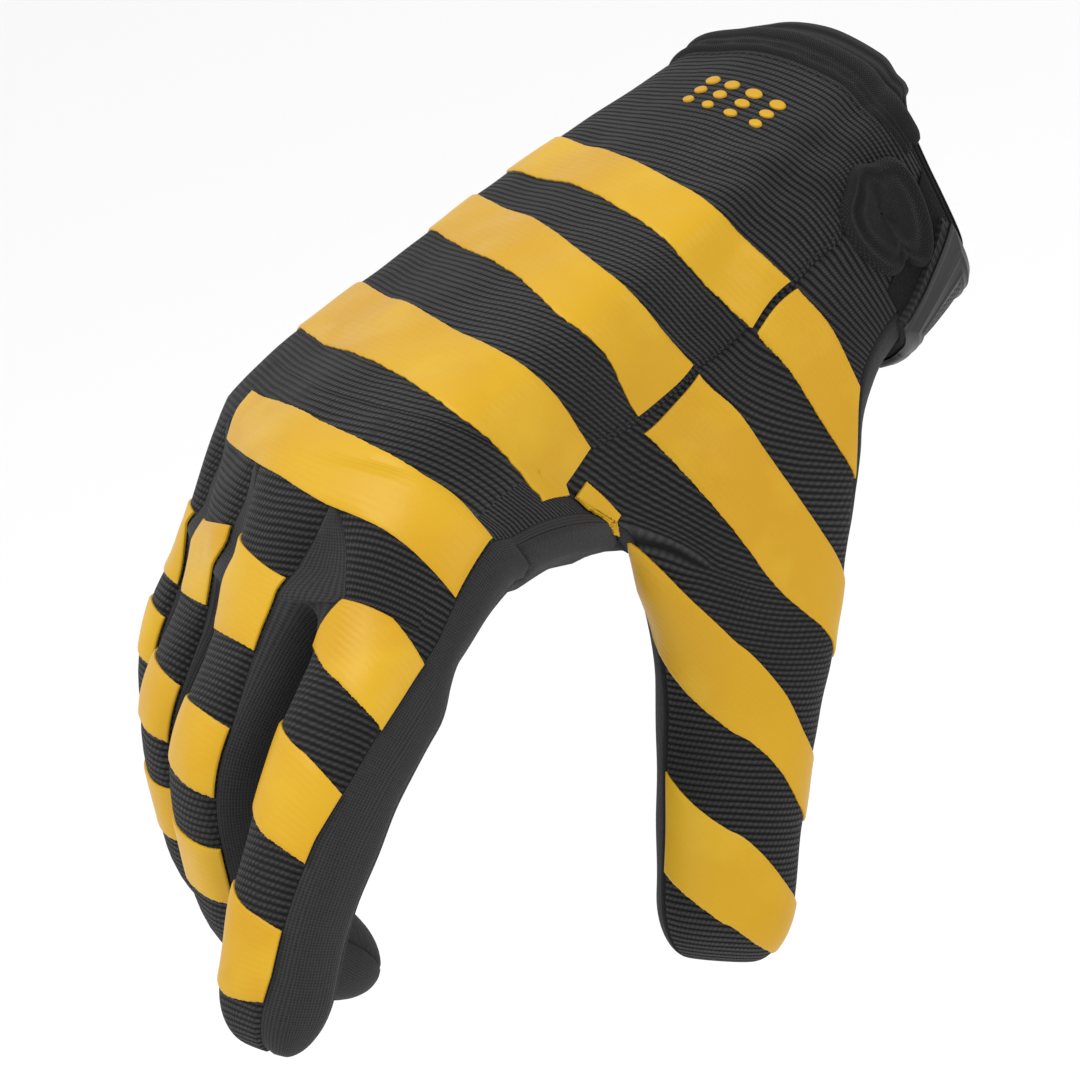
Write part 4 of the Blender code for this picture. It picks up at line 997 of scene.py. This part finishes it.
def slab_piece(name, base, top, finish, slot, replaced=()):
    """A closed solid between two grids of the same shape, the base inside and the top outside."""
    rows, columns = base.shape[:2]
    count = rows * columns
    number = np.arange(count).reshape(rows, columns)
    up = grid_faces(number).reshape(-1, 4)
    edge = np.concatenate([number[:-1, 0], number[-1, :-1], number[:0:-1, -1], number[0, :0:-1]])
    edge = np.stack([edge, np.roll(edge, -1)], 1)
    walls = np.stack([edge[:, 0], edge[:, 1], edge[:, 1] + count, edge[:, 0] + count], 1)
    faces = np.concatenate([up + count, up[:, ::-1], walls])
    flat = np.stack(np.meshgrid(lengths(top, 0), lengths(top, 1), indexing="ij"), -1).reshape(-1, 2)
    corners = np.concatenate([flat[up], flat[up[:, ::-1]], flat[walls % count]])
    points = np.concatenate([base.reshape(-1, 3), top.reshape(-1, 3)])
    make_mesh(name, points, faces, corners, finish, slot, replaced)


def hand_back(place, station):
    """The back of the hand by place and station, on both sides of the thumb's crotch."""
    place, station = np.broadcast_arrays(np.asarray(place, float), np.asarray(station, float))
    before = trunk(place, np.minimum(station, THUMB_CROTCH), True)
    after = knuckles(place, np.maximum(station, THUMB_CROTCH))
    return np.where((station <= THUMB_CROTCH)[..., None], before, after)


def thumb_side(place, station):
    """The thumb's side of the hand and the thumb; below place 5 lies the thumb's inside."""
    place, station = np.broadcast_arrays(np.asarray(place, float), np.asarray(station, float))
    before = trunk(place, np.minimum(station, THUMB_CROTCH), True)
    after = thumb(np.where(place < 5, place + 5, place), np.maximum(station, THUMB_CROTCH))
    return np.where((station <= THUMB_CROTCH)[..., None], before, after)


def finger_back(name):
    """A finger's back between its seams, from the knuckle to the tip; the share runs 0 to 1 across it."""
    j = NAMES.index(name)

    def surface(share, station):
        share, station = np.broadcast_arrays(np.asarray(share, float), np.asarray(station, float))
        low, high = finger_seam(name, 0, station), finger_seam(name, 1, station)
        v = low + (high - low) * share
        past = np.maximum(station, 2)
        own = round_index(v, past) if name == "index" else finger(name, "dorsal", v, past)
        return np.where((station <= 2)[..., None], knuckles(j + 0.5 + v, np.minimum(station, 2)), own)

    return surface


SURFACES = {"back": hand_back, "thumb": thumb_side, **{name: finger_back(name) for name in NAMES}}

# Places across a finger's back, from corner to corner
ACROSS = (0.0, 0.5, 1.0)
# Printed stripes: name, surface, then places and stations of the upper edge and of the lower edge
STRIPES = [
    ("back_stripe_1", "back", (0.3, 1.2, 3.0, 4.1, 5.2, 6.105), (0.262, 0.295, 0.327, 0.361, 0.366, 0.366),
     (0.3, 1.2, 2.9, 4.3, 5.0, 5.845), (0.370, 0.400, 0.412, 0.467, 0.468, 0.464)),
    ("back_stripe_2", "back", (0.3, 1.8, 3.0, 3.9, 4.5, 5.085), (0.455, 0.488, 0.510, 0.566, 0.580, 0.592),
     (0.3, 2.1, 3.2, 3.85, 4.4, 4.815), (0.565, 0.595, 0.620, 0.675, 0.694, 0.744)),
    ("back_stripe_3", "back", (0.3, 1.9, 2.5, 3.7, 4.4, 4.665), (0.730, 0.738, 0.736, 0.777, 0.815, 0.845),
     (0.3, 1.8, 3.1, 3.9, 4.3, 4.665), (0.870, 0.871, 0.866, 0.913, 0.932, 0.950)),
    ("back_stripe_4", "back", (1.6, 1.9, 2.9, 3.7, 4.2, 4.735), (0.976, 0.972, 0.966, 0.988, 1.012, 1.072),
     (1.6, 2.1, 2.7, 3.0, 3.5, 3.8, 4.25, 4.735), (1.190, 1.181, 1.170, 1.185, 1.305, 1.370, 1.470, 1.615)),
    ("thumb_stripe_1", "thumb", (6.145, 6.55, 6.98), (0.366, 0.379, 0.452),
     (5.89, 6.37, 6.78, 6.98), (0.464, 0.503, 0.632, 0.690)),
    ("thumb_stripe_2", "thumb", (5.13, 6.10, 6.61, 6.98), (0.597, 0.645, 0.822, 0.930),
     (4.855, 5.06, 5.71, 6.46, 6.98), (0.757, 0.766, 0.826, 1.005, 1.130)),
    ("thumb_stripe_3", "thumb", (4.84, 5.0, 5.2, 5.38, 5.83, 6.12, 6.40, 6.98),
     (0.950, 0.942, 0.958, 0.985, 1.089, 1.198, 1.294, 1.40),
     (4.84, 5.20, 5.78, 6.16, 6.57, 6.98), (1.10, 1.190, 1.307, 1.394, 1.495, 1.56)),
    ("thumb_stripe_3_tip", "back", (4.715, 4.85, 4.99), (0.896, 0.902, 0.915),
     (4.715, 4.99), (0.9295, 0.9295)),
    ("thumb_stripe_4", "thumb", (5.02, 5.42, 5.78, 6.51, 6.98), (1.430, 1.495, 1.553, 1.708, 1.780),
     (5.02, 5.65, 6.10, 6.5, 6.98), (1.685, 1.771, 1.850, 1.885, 1.900)),
    ("index_stripe_1", "index", ACROSS, (1.960, 2.000, 2.060), ACROSS, (2.110, 2.185, 2.235)),
    ("index_stripe_2", "index", ACROSS, (2.285, 2.335, 2.388), ACROSS, (2.465, 2.525, 2.556)),
    ("index_stripe_3", "index", ACROSS, (2.640, 2.678, 2.700), ACROSS, (2.858, 2.878, 2.862)),
    ("middle_stripe_1", "middle", ACROSS, (1.600, 1.700, 1.840), ACROSS, (2.085, 2.090, 2.100)),
    ("middle_stripe_2", "middle", ACROSS, (2.225, 2.240, 2.250), ACROSS, (2.320, 2.340, 2.350)),
    ("middle_stripe_3", "middle", ACROSS, (2.430, 2.430, 2.440), ACROSS, (2.560, 2.565, 2.570)),
    ("ring_stripe_1", "ring", ACROSS, (1.780, 1.700, 1.620), ACROSS, (2.095, 2.090, 2.080)),
    ("ring_stripe_2", "ring", ACROSS, (2.220, 2.245, 2.260), ACROSS, (2.335, 2.345, 2.350)),
    ("ring_stripe_3", "ring", ACROSS, (2.440, 2.440, 2.440), ACROSS, (2.580, 2.580, 2.580)),
    ("little_stripe_1", "little", ACROSS, (1.800, 1.820, 1.850), ACROSS, (2.150, 2.160, 2.165)),
    ("little_stripe_2", "little", ACROSS, (2.235, 2.240, 2.250), ACROSS, (2.345, 2.350, 2.355)),
]


def jagged(count, seed, size):
    """A small uneven line, as where ink creeps along single stitches: waves of odd lengths, summed."""
    t = np.arange(count)
    return size * (np.sin(1.7 * t + seed) + np.sin(2.9 * t + 2 * seed) + np.sin(0.61 * t + 3 * seed)) / 3


def edge_line(places, stations, share):
    """A stripe's edge: the place goes evenly from end to end and the station follows a smooth curve."""
    places, stations = np.array(places, float), np.array(stations, float)
    place = places[0] + (places[-1] - places[0]) * share
    return place, smooth_table(place, places, stations)


STRIPE_COLUMNS = 110
STRIPE_ROWS = np.array([0, 0.012, 0.04, 0.09, 0.17, 0.27, 0.38, 0.5, 0.62, 0.73, 0.83, 0.91, 0.96, 0.988, 1])


def stripe_piece(name, surface, upper_places, upper, lower_places, lower, film):
    """A printed stripe: a film on the cloth, ruled from upper to lower edge and rounded down all round."""
    share = spaced(0.008, 0.992, STRIPE_COLUMNS)
    place_up, high = edge_line(upper_places, upper, share)
    place_low, low = edge_line(lower_places, lower, share)
    seed = sum(map(ord, name))
    high = high + jagged(STRIPE_COLUMNS, seed, 0.0007)
    low = low + jagged(STRIPE_COLUMNS, seed + 5, 0.0018)
    a = place_up[:, None] * (1 - STRIPE_ROWS) + place_low[:, None] * STRIPE_ROWS
    b = high[:, None] * (1 - STRIPE_ROWS) + low[:, None] * STRIPE_ROWS
    count = np.arange(STRIPE_COLUMNS)
    ends = np.minimum(count, count[::-1])[:, None] / 1.5
    sides = np.minimum(STRIPE_ROWS, 1 - STRIPE_ROWS) / 0.03
    height = FILM_SEEN * np.clip(np.minimum(ends, sides) * 0.7 + 0.3, 0, 1)
    base = raised(SURFACES[surface], a, b, -0.15)
    top = raised(SURFACES[surface], a, b, FILM_SIT + height)
    slab_piece(name + "_film", base, top, film, "yellow_film", [] if name.endswith("tip") else [name])


def trunk_with_thumb(place, station):
    """The hand's surface by the wrist; above the opening it goes straight on."""
    step = 1e-3
    rim, next_to_rim = (trunk(place, np.full(np.shape(place), at), True) for at in (0.0, step))
    slope = (next_to_rim - rim) / step
    return trunk(place, np.maximum(station, 0), True) + slope * np.minimum(station, 0)[..., None]


def profile_along(path, out, profile):
    """A grid of points: the profile's steps across and out, carried along a path. The path comes first."""
    along = np.gradient(path, axis=0)
    along /= np.linalg.norm(along, axis=1, keepdims=True)
    out = out - along * (out * along).sum(1, keepdims=True)
    out /= np.linalg.norm(out, axis=1, keepdims=True)
    side = np.cross(along, out)
    return path[:, None] + side[:, None] * profile[None, :, :1] + out[:, None] * profile[None, :, 1:]


def tube_piece(name, path, out, profile, finish, slot, replaced=()):
    """A closed bar: a closed profile carried along a path, its ends drawn in to a point."""
    count, sides = len(path), len(profile)
    t = np.minimum(np.arange(count), np.arange(count)[::-1])
    draw = np.sqrt(1 - (1 - np.clip(t / 4, 0, 1)) ** 2)
    grid = profile_along(path, out, profile)
    grid = path[:, None] + (grid - path[:, None]) * draw[:, None, None]
    faces = closed_faces(count, sides, 1)
    across = spaced(0, np.linalg.norm(np.diff(profile, axis=0), axis=1).sum(), sides)
    length = np.concatenate([[0], np.cumsum(np.linalg.norm(np.diff(path, axis=0), axis=1))])
    cloth = np.stack(np.meshgrid(length, across, indexing="ij")[::-1], -1).reshape(-1, 2)
    make_mesh(name, grid.reshape(-1, 3), faces, cloth[faces], finish, slot, replaced)


def make_binding(jersey):
    """The bound edge: a jersey fold over the rim, with a piping bead at its outer edge."""
    place = spaced(SLIT_PLACE[0], BINDING_END, 300)
    path, normal = trunk_with_thumb(place, place * 0), shell_normals(trunk_with_thumb, place, place * 0)
    turn = spaced(0, 2 * np.pi, 25)[:-1]
    bead = PIPING_RADIUS * np.stack([np.cos(turn), np.sin(turn)], 1)
    tube_piece("cuff_piping", path + [0, PIPING_RISE, 0], normal, bead, jersey, "binding", ["cuff_binding"])
    place, share = np.meshgrid(place[::-1], spaced(0, 1, 26), indexing="ij")
    narrow = 1 - FOLD_TAPER * ease(5.4, 6.2, place)
    station = -0.004 + FOLD_WIDTH / PALM_LENGTH * share * narrow
    ridge = 0.30 * np.exp(-((share - 0.42) / 0.10) ** 2) + 0.38 * np.exp(-((share - 0.84) / 0.09) ** 2)
    crease = 0.10 * np.sin(place * 11 + share * 5) * np.exp(-((share - 0.6) / 0.3) ** 2)
    end = np.minimum(place - BINDING_END, SLIT_PLACE[0] - place) / 0.06
    close = np.clip(np.minimum(np.minimum(share, 1 - share) / 0.07, end), 0, 1)
    height = 0.12 + (0.62 + ridge + crease) * np.sqrt(1 - (1 - close) ** 2)
    top = raised(trunk_with_thumb, place, station, height)
    base = raised(trunk_with_thumb, place, station, -0.3)
    slab_piece("cuff_fold", base, top, jersey, "binding")


# The curled end's outline as places and stations, and its middle
CURL_OUTLINE = np.array([(6.22, 0.008), (6.11, 0.098), (6.04, 0.190), (6.11, 0.232), (6.28, 0.248),
                         (6.45, 0.234), (6.60, 0.150), (6.50, 0.038)])
CURL_MIDDLE = np.array([6.34, 0.145])
# Millimetres for each place and each station by the wrist, and the rounds of evening out of the outline
CURL_SCALE = np.array([14.0, PALM_LENGTH])
CURL_ROUNDS = 40


def make_curl(jersey):
    """The curled end of the binding: a flat ear with a rolled edge, an inner roll and a pit at its middle.

    Round the middle the edge's distance is read from the outline and evened out; the height is a sum of
    two rolls, the body and the pit, by the share of the way from the middle to the edge."""
    turn = spaced(0, 2 * np.pi, 121)[:-1]
    away = (CURL_OUTLINE - CURL_MIDDLE) * CURL_SCALE
    angle = np.arctan2(away[:, 1], away[:, 0])
    radius = np.interp(turn, angle, np.linalg.norm(away, axis=1), period=2 * np.pi)
    for _ in range(CURL_ROUNDS):
        radius = (np.roll(radius, 1) + radius * 2 + np.roll(radius, -1)) / 4
    turn, radius = turn[:, None], radius[:, None]
    reach = np.append(0.02, spaced(0.05, 1.0, 48))
    roll = 1.15 * np.exp(-((reach - 0.88) / 0.09) ** 2) + 0.65 * np.exp(-((reach - 0.56) / 0.10) ** 2)
    pit = -1.0 * np.exp(-(reach / 0.20) ** 2)
    slant = 0.3 * np.sin(3 * turn + 0.6) * reach * (1 - reach) * 4
    lift = 0.2 + 1.35 * np.sqrt(1 - reach ** 8) + roll + pit + slant
    place = CURL_MIDDLE[0] + radius * reach * np.cos(turn) / CURL_SCALE[0]
    station = CURL_MIDDLE[1] + radius * reach * np.sin(turn) / CURL_SCALE[1]
    top = raised(trunk_with_thumb, place, station, lift)
    base = raised(trunk_with_thumb, place, station, -0.2)
    rows, columns = top.shape[:2]
    count = rows * columns
    up = closed_faces(rows, columns, 0)
    edge = np.arange(count).reshape(rows, columns)[:, -1]
    following = np.roll(edge, -1)
    wall = np.stack([edge, following, following + count, edge + count], 1)
    flat = np.stack(np.broadcast_arrays(turn * 9, reach * 11), -1).reshape(-1, 2)
    faces = np.concatenate([up, up[:, ::-1] + count, wall])
    corners = np.concatenate([flat[up], flat[up[:, ::-1]], flat[wall % count]])
    points = np.concatenate([top.reshape(-1, 3), base.reshape(-1, 3)])
    make_mesh("binding_curl_jersey", points, faces, corners, jersey, "binding", ["binding_curl"])


# The badge: its bevel as a share of its sides, the height across the bevel, and waves of its knurled field
BADGE_BEVEL = 0.085
BADGE_PROFILE = ((0, 0.08, 0.15, 0.9, 1.0, 1.12, 1.3, 9), (0.30, 0.52, 0.58, 0.92, 1.0, 1.0, 0.90, 0.90))
KNURLS = (110, 95)
# The near-black sheet in the slit, a painted shade of its recess: place of its front, how far that slants,
# and its first station and its length
SLIT_SHADE_FRONT = 6.36
SLIT_SHADE_SLANT = 0.40
SLIT_SHADE_STATIONS = (0.004, 0.216)


def strap_grid(places, stations, along_count, across_count):
    """A patch round the wrist with a slanted front edge: shares along and across it, places and stations."""
    along, across = np.meshgrid(spaced(0, 1, along_count), spaced(0, 1, across_count), indexing="ij")
    front = places[0] + FRONT_SLANT * across
    station = stations[0] + (stations[1] - stations[0]) * across
    return along, across, front + (places[1] - front) * along, station


def make_strap(elastic, rubber, slit_shade):
    """The closing strap, its badge with a raised frame and a knurled field, and a near-black sheet inside the
    slit, a painted shade of its recess.
    """
    along, across, place, _ = strap_grid(STRAP_PLACES, STRAP_STATIONS, 220, 25)
    end = np.clip((along - 1 + ROUND_END) / ROUND_END, 0, 1)
    narrow = 0.5 * (1 - np.sqrt(1 - 0.75 * end ** 2))
    low, high = STRAP_STATIONS
    station = low + (high - low) * (narrow + (1 - 2 * narrow) * across)
    soft = np.clip(np.minimum(across, 1 - across) / 0.06, 0, 1)
    top = raised(trunk_with_thumb, place, station, 0.4 + STRAP_WALL * (0.55 + 0.45 * np.sqrt(soft)))
    base = raised(trunk_with_thumb, place, station, 0.2)
    slab_piece("wrist_strap_elastic", base, top, elastic, "elastic", ["wrist_strap"])
    along, across, place, station = strap_grid(BADGE_PLACES, BADGE_STATIONS, 200, 150)
    edge = np.minimum(np.minimum(along, 1 - along), np.minimum(across, 1 - across)) / BADGE_BEVEL
    profile = np.interp(edge, *BADGE_PROFILE)
    frame_line = 0.16 * np.exp(-((edge - 2.0) / 0.16) ** 2)
    knurls = 0.10 * np.sin(along * KNURLS[0]) * np.sin(across * KNURLS[1]) - 0.12
    height = profile + frame_line + np.clip((edge - 2.4) / 0.2, 0, 1) * knurls
    rise = 0.39 + STRAP_WALL
    top = raised(trunk_with_thumb, place, station, rise + height * BADGE_HEIGHT)
    base = raised(trunk_with_thumb, place, station, rise - 0.2)
    slab_piece("strap_badge_rubber", base, top, rubber, "rubber", ["strap_badge"])
    # A near-black fuzzy sheet fills the slit between the curled end and the badge: painted shade of the
    # recess
    share, across = np.meshgrid(spaced(0, 1, 30), spaced(0, 1, 40), indexing="ij")
    front, back = SLIT_SHADE_FRONT + SLIT_SHADE_SLANT * across, BADGE_PLACES[0] + FRONT_SLANT * across
    place, station = front + (back - front) * share, SLIT_SHADE_STATIONS[0] + SLIT_SHADE_STATIONS[1] * across
    height = 0.2 + 0.35 * np.clip(np.minimum(across, 1 - across) * 12, 0, 1)
    top = raised(trunk_with_thumb, place, station, height)
    base = raised(trunk_with_thumb, place, station, -0.2)
    slab_piece("slit_shade_sheet", base, top, slit_shade, "elastic")


def make_band(elastic):
    """The elastic band inside the opening, which shows above the bound edge with a few lengthwise folds."""
    stations = spaced(-BAND_RISE / PALM_LENGTH, BAND_DEPTH / PALM_LENGTH, 26)
    place, station = np.meshgrid(spaced(*BAND_PLACES, 300), stations, indexing="ij")
    deep = WALL + SEAM_GAP * 3
    above = np.clip(-station * PALM_LENGTH / BAND_RISE, 0, 1)
    lower = LOW_SIDE * ease(5.3, 6.5, place) * (1 - ease(9.0, 10.5, place))
    station = np.where(station < 0, station * (1 - lower), station)
    wave = 0.35 * np.sin(above * 8.0 + 0.8 * np.sin(place * 1.3)) * above
    lip = 0.35 * np.exp(-((above - 0.93) / 0.06) ** 2)
    height = 0.6 * above + wave - deep
    outside = raised(trunk_with_thumb, place, station, height + lip)
    inside = raised(trunk_with_thumb, place, station, height - BAND_WALL)
    slab_piece("wrist_band_elastic", inside, outside, elastic, "elastic", ["wrist_band"])


# Stitches in millimetres, and along each of them: shares of its length, how high it lies and how thick it is
STITCH_STEP = 2.3
STITCH_LENGTH = 1.2
STITCH_RADIUS = 0.13
STITCH_PARTS = np.array([0, 0.12, 0.5, 0.88, 1.0])
STITCH_SINK = np.array([-0.5, 0.7, 1.0, 0.7, -0.5])
STITCH_SIZE = np.array([0.25, 1.0, 1.0, 1.0, 0.25])


def stitch_row(name, surface, place, station, height, thread):
    """A row of single stitches along a seam: small six-sided bars laid end to end, sunk at both ends."""
    path, out = raised(surface, place, station, height), shell_normals(surface, place, station)
    run = np.concatenate([[0], np.cumsum(np.linalg.norm(np.diff(path, axis=0), axis=1))])
    starts = np.arange(STITCH_STEP / 2, run[-1] - STITCH_LENGTH, STITCH_STEP)
    sink, size = STITCH_SINK[:, None, None] * STITCH_RADIUS, STITCH_SIZE[:, None, None] * STITCH_RADIUS
    s = starts[:, None] + STITCH_PARTS * STITCH_LENGTH
    centre, normal = (np.stack([np.interp(s, run, row[:, k]) for k in range(3)], -1) for row in (path, out))
    normal /= np.linalg.norm(normal, axis=-1, keepdims=True)
    along = np.gradient(centre, axis=1)
    along /= np.maximum(np.linalg.norm(along, axis=-1, keepdims=True), 1e-9)
    side, centre, normal = np.cross(along, normal)[:, :, None], centre[:, :, None], normal[:, :, None]
    turn = spaced(0, 2 * np.pi, 7)[:-1, None]
    ring = centre + normal * sink + (side * np.cos(turn) + normal * np.sin(turn)) * size
    many, rows, sides = ring.shape[:3]
    start = (np.arange(many) * rows * sides)[:, None, None]
    ends = np.array([[3, 2, 1, 0], [5, 4, 3, 0]])
    last = (rows - 1) * sides + ends[:, ::-1]
    one = np.concatenate([closed_faces(rows, sides, 1), ends, last])
    faces = (start + one).reshape(-1, 4)
    make_mesh(name, ring.reshape(-1, 3), faces, np.zeros((len(faces), 4, 2)), thread, "stretch_knit")


def seam_stitches(thread):
    """Short stitches beside the thumb's seam and below the bound edge."""
    q = spaced(0.02, 0.925, 260)
    stitch_row("thumb_seam_stitches", hand_back, seam_place(q) - 0.05, q, -0.04, thread)
    place = spaced(SLIT_PLACE[0] - 0.35, BINDING_END + 0.2, 300)
    below_fold = np.full(300, FOLD_WIDTH / PALM_LENGTH + 0.006)
    stitch_row("cuff_stitches", trunk_with_thumb, place, below_fold, 0.02, thread)


def cuff_dots(film):
    """A plain cluster of round yellow dots near the cuff, as a generic print."""
    turn = spaced(0, 2 * np.pi, 25)[:-1, None]
    reach = np.array([0.02, 0.5, 0.9, 1.0, 1.02])
    height = np.array([0.5, 0.5, 0.46, 0.3, -0.1])
    across, along = np.indices((4, 3)).reshape(2, -1, 1, 1)
    size = (1.0 - 0.12 * along) * reach
    place = 2.55 + 0.36 * across + 0.105 * size * np.cos(turn)
    station = 0.115 + 0.026 * along + 0.004 * across + 0.0094 * size * np.sin(turn)
    points = raised(trunk_with_thumb, place, station, height)
    start = np.arange(len(points))[:, None, None] * turn.size * reach.size
    faces = (start + closed_faces(turn.size, reach.size, 0)).reshape(-1, 4)
    make_mesh("cuff_dots", points.reshape(-1, 3), faces, np.zeros((len(faces), 4, 2)), film, "yellow_film")


def make_panels(finishes):
    """All cloth panels, from one joined surface so that they meet along their seams."""
    points, panels = weld(glove_grids())
    every = np.concatenate([faces for faces, _ in panels.values()])
    points = soften_crease(points, every)
    points = points + point_normals(points, every) * folds(points)[:, None]
    normals = point_normals(points, every)
    across = face_normals(points, every)
    across /= np.maximum(np.linalg.norm(across, axis=1, keepdims=True), 1e-9)
    lean = np.ones(len(points))
    for k in range(4):
        np.minimum.at(lean, every[:, k], (normals[every[:, k]] * across).sum(1))
    for name, (faces, corners) in panels.items():
        panel_piece(name, points, normals, lean, faces, corners, *finishes.get(name, finishes["other"]))


def make_glove():
    """Every piece with its finish."""
    knit, film, suede = knit_finish(), film_finish(), suede_finish()
    side_knit, jersey, elastic = stretch_finish("stretch_knit", 0.55), jersey_finish(), elastic_finish()
    lined_knit, rubber = stretch_finish("lined_stretch", 0.62), rubber_finish()
    slit_shade, thread = slit_shade_finish(), thread_finish()
    make_panels({"back_panel": (knit, "rib_knit"), "thumb_back_panel": (knit, "rib_knit"),
                 "palm_panel": (suede, "suede"), "thumb_palm_panel": (suede, "suede"),
                 "index_side_panel": (lined_knit, "stretch_knit"), "other": (side_knit, "stretch_knit")})
    for stripe in STRIPES:
        stripe_piece(*stripe, film)
    make_binding(jersey)
    make_curl(jersey)
    make_strap(elastic, rubber, slit_shade)
    make_band(elastic)
    seam_stitches(thread)
    cuff_dots(film)


# The photograph's view: degrees round, above the horizon and of tilt, and the distance in metres
VIEW_TURN, VIEW_RISE, VIEW_TILT, VIEW_DISTANCE = 58.6, 30.7, 19.0, 0.9
VIEW_POINT = np.array([0, -0.100, -0.020])
VIEW_LENS = 5.2 * 900 / 1080 * 36
VIEW_SHIFT = ((540 - 492) / 1080, (522 - 540) / 1080)
# The studio in metres: how far the floor is below the glove, half its side, the surrounding's strength, and
# each light's name, place, aim, size and power in watts
FLOOR_DROP = 0.55
FLOOR_HALF = 6.0
WORLD_LIGHT = 0.95
LIGHTS = (("key", (-0.3, -0.5, 1.2), (0, -0.1, 0), 0.7, 7),
          ("side", (1.3, 0.1, 0.6), (0, -0.1, 0), 0.6, 3.5),
          ("low", (0.5, -1.3, 0.0), (0, -0.1, -0.05), 0.6, 1.5))


def put_at(made, place, right, up, back):
    """Links an object to the scene at a place in metres, turned so that it looks away from back."""
    bpy.context.scene.collection.objects.link(made)
    rows = zip(np.stack([right, up, back], 1).tolist(), place)
    made.matrix_world = Matrix([[*row, at] for row, at in rows] + [[0, 0, 0, 1]])


def make_camera():
    """A camera that looks at the view point: back is the way from there to the camera, right and up tilt."""
    turn, rise, tilt = (v * RADIANS for v in (VIEW_TURN, VIEW_RISE, VIEW_TILT))
    back = np.array([np.sin(turn) * np.cos(rise), -np.cos(turn) * np.cos(rise), np.sin(rise)])
    right = np.array([np.cos(turn), np.sin(turn), 0])
    up = np.cross(back, right)
    right, up = right * np.cos(tilt) - up * np.sin(tilt), up * np.cos(tilt) + right * np.sin(tilt)
    camera = bpy.data.objects.new("camera", bpy.data.cameras.new("camera"))
    camera.data.lens, camera.data.sensor_width = VIEW_LENS, 36
    camera.data.shift_x, camera.data.shift_y = VIEW_SHIFT
    camera.data.clip_start, camera.data.clip_end = 0.05, 50
    put_at(camera, VIEW_POINT + back * VIEW_DISTANCE, right, up, back)
    bpy.context.scene.camera = camera


def soft_light(name, place, aim, size, power):
    """A square light at a place, turned to its aim."""
    light = bpy.data.objects.new(name, bpy.data.lights.new(name, "AREA"))
    light.data.energy, light.data.size = power, size
    back = np.array(place) - aim
    back /= np.linalg.norm(back)
    right = np.cross([0, 0, 1.0], back)
    right /= np.linalg.norm(right)
    put_at(light, place, right, np.cross(back, right), back)


def make_studio():
    """A pale floor well below the glove, a white surrounding and soft lights."""
    mesh = bpy.data.meshes.new("floor")
    low = float(cad_box[0][2]) - FLOOR_DROP
    corners = [(x * FLOOR_HALF, y * FLOOR_HALF, low) for x, y in ((-1, -1), (1, -1), (1, 1), (-1, 1))]
    mesh.from_pydata(corners, [], [(0, 1, 2, 3)])
    floor = bpy.data.objects.new("floor", mesh)
    bpy.context.scene.collection.objects.link(floor)
    finish = bpy.data.materials.new("studio_floor")
    finish.use_nodes = True
    finish.node_tree.nodes["Principled BSDF"].inputs["Base Color"].default_value = (0.93, 0.93, 0.93, 1)
    finish.node_tree.nodes["Principled BSDF"].inputs["Roughness"].default_value = 0.9
    mesh.materials.append(finish)
    world = bpy.data.worlds.new("studio")
    world.use_nodes = True
    world.node_tree.nodes["Background"].inputs["Color"].default_value = (1, 1, 1, 1)
    world.node_tree.nodes["Background"].inputs["Strength"].default_value = WORLD_LIGHT
    bpy.context.scene.world = world
    bpy.context.scene.view_settings.view_transform = "Standard"
    for light in LIGHTS:
        soft_light(*light)


make_camera()
make_studio()
make_glove()
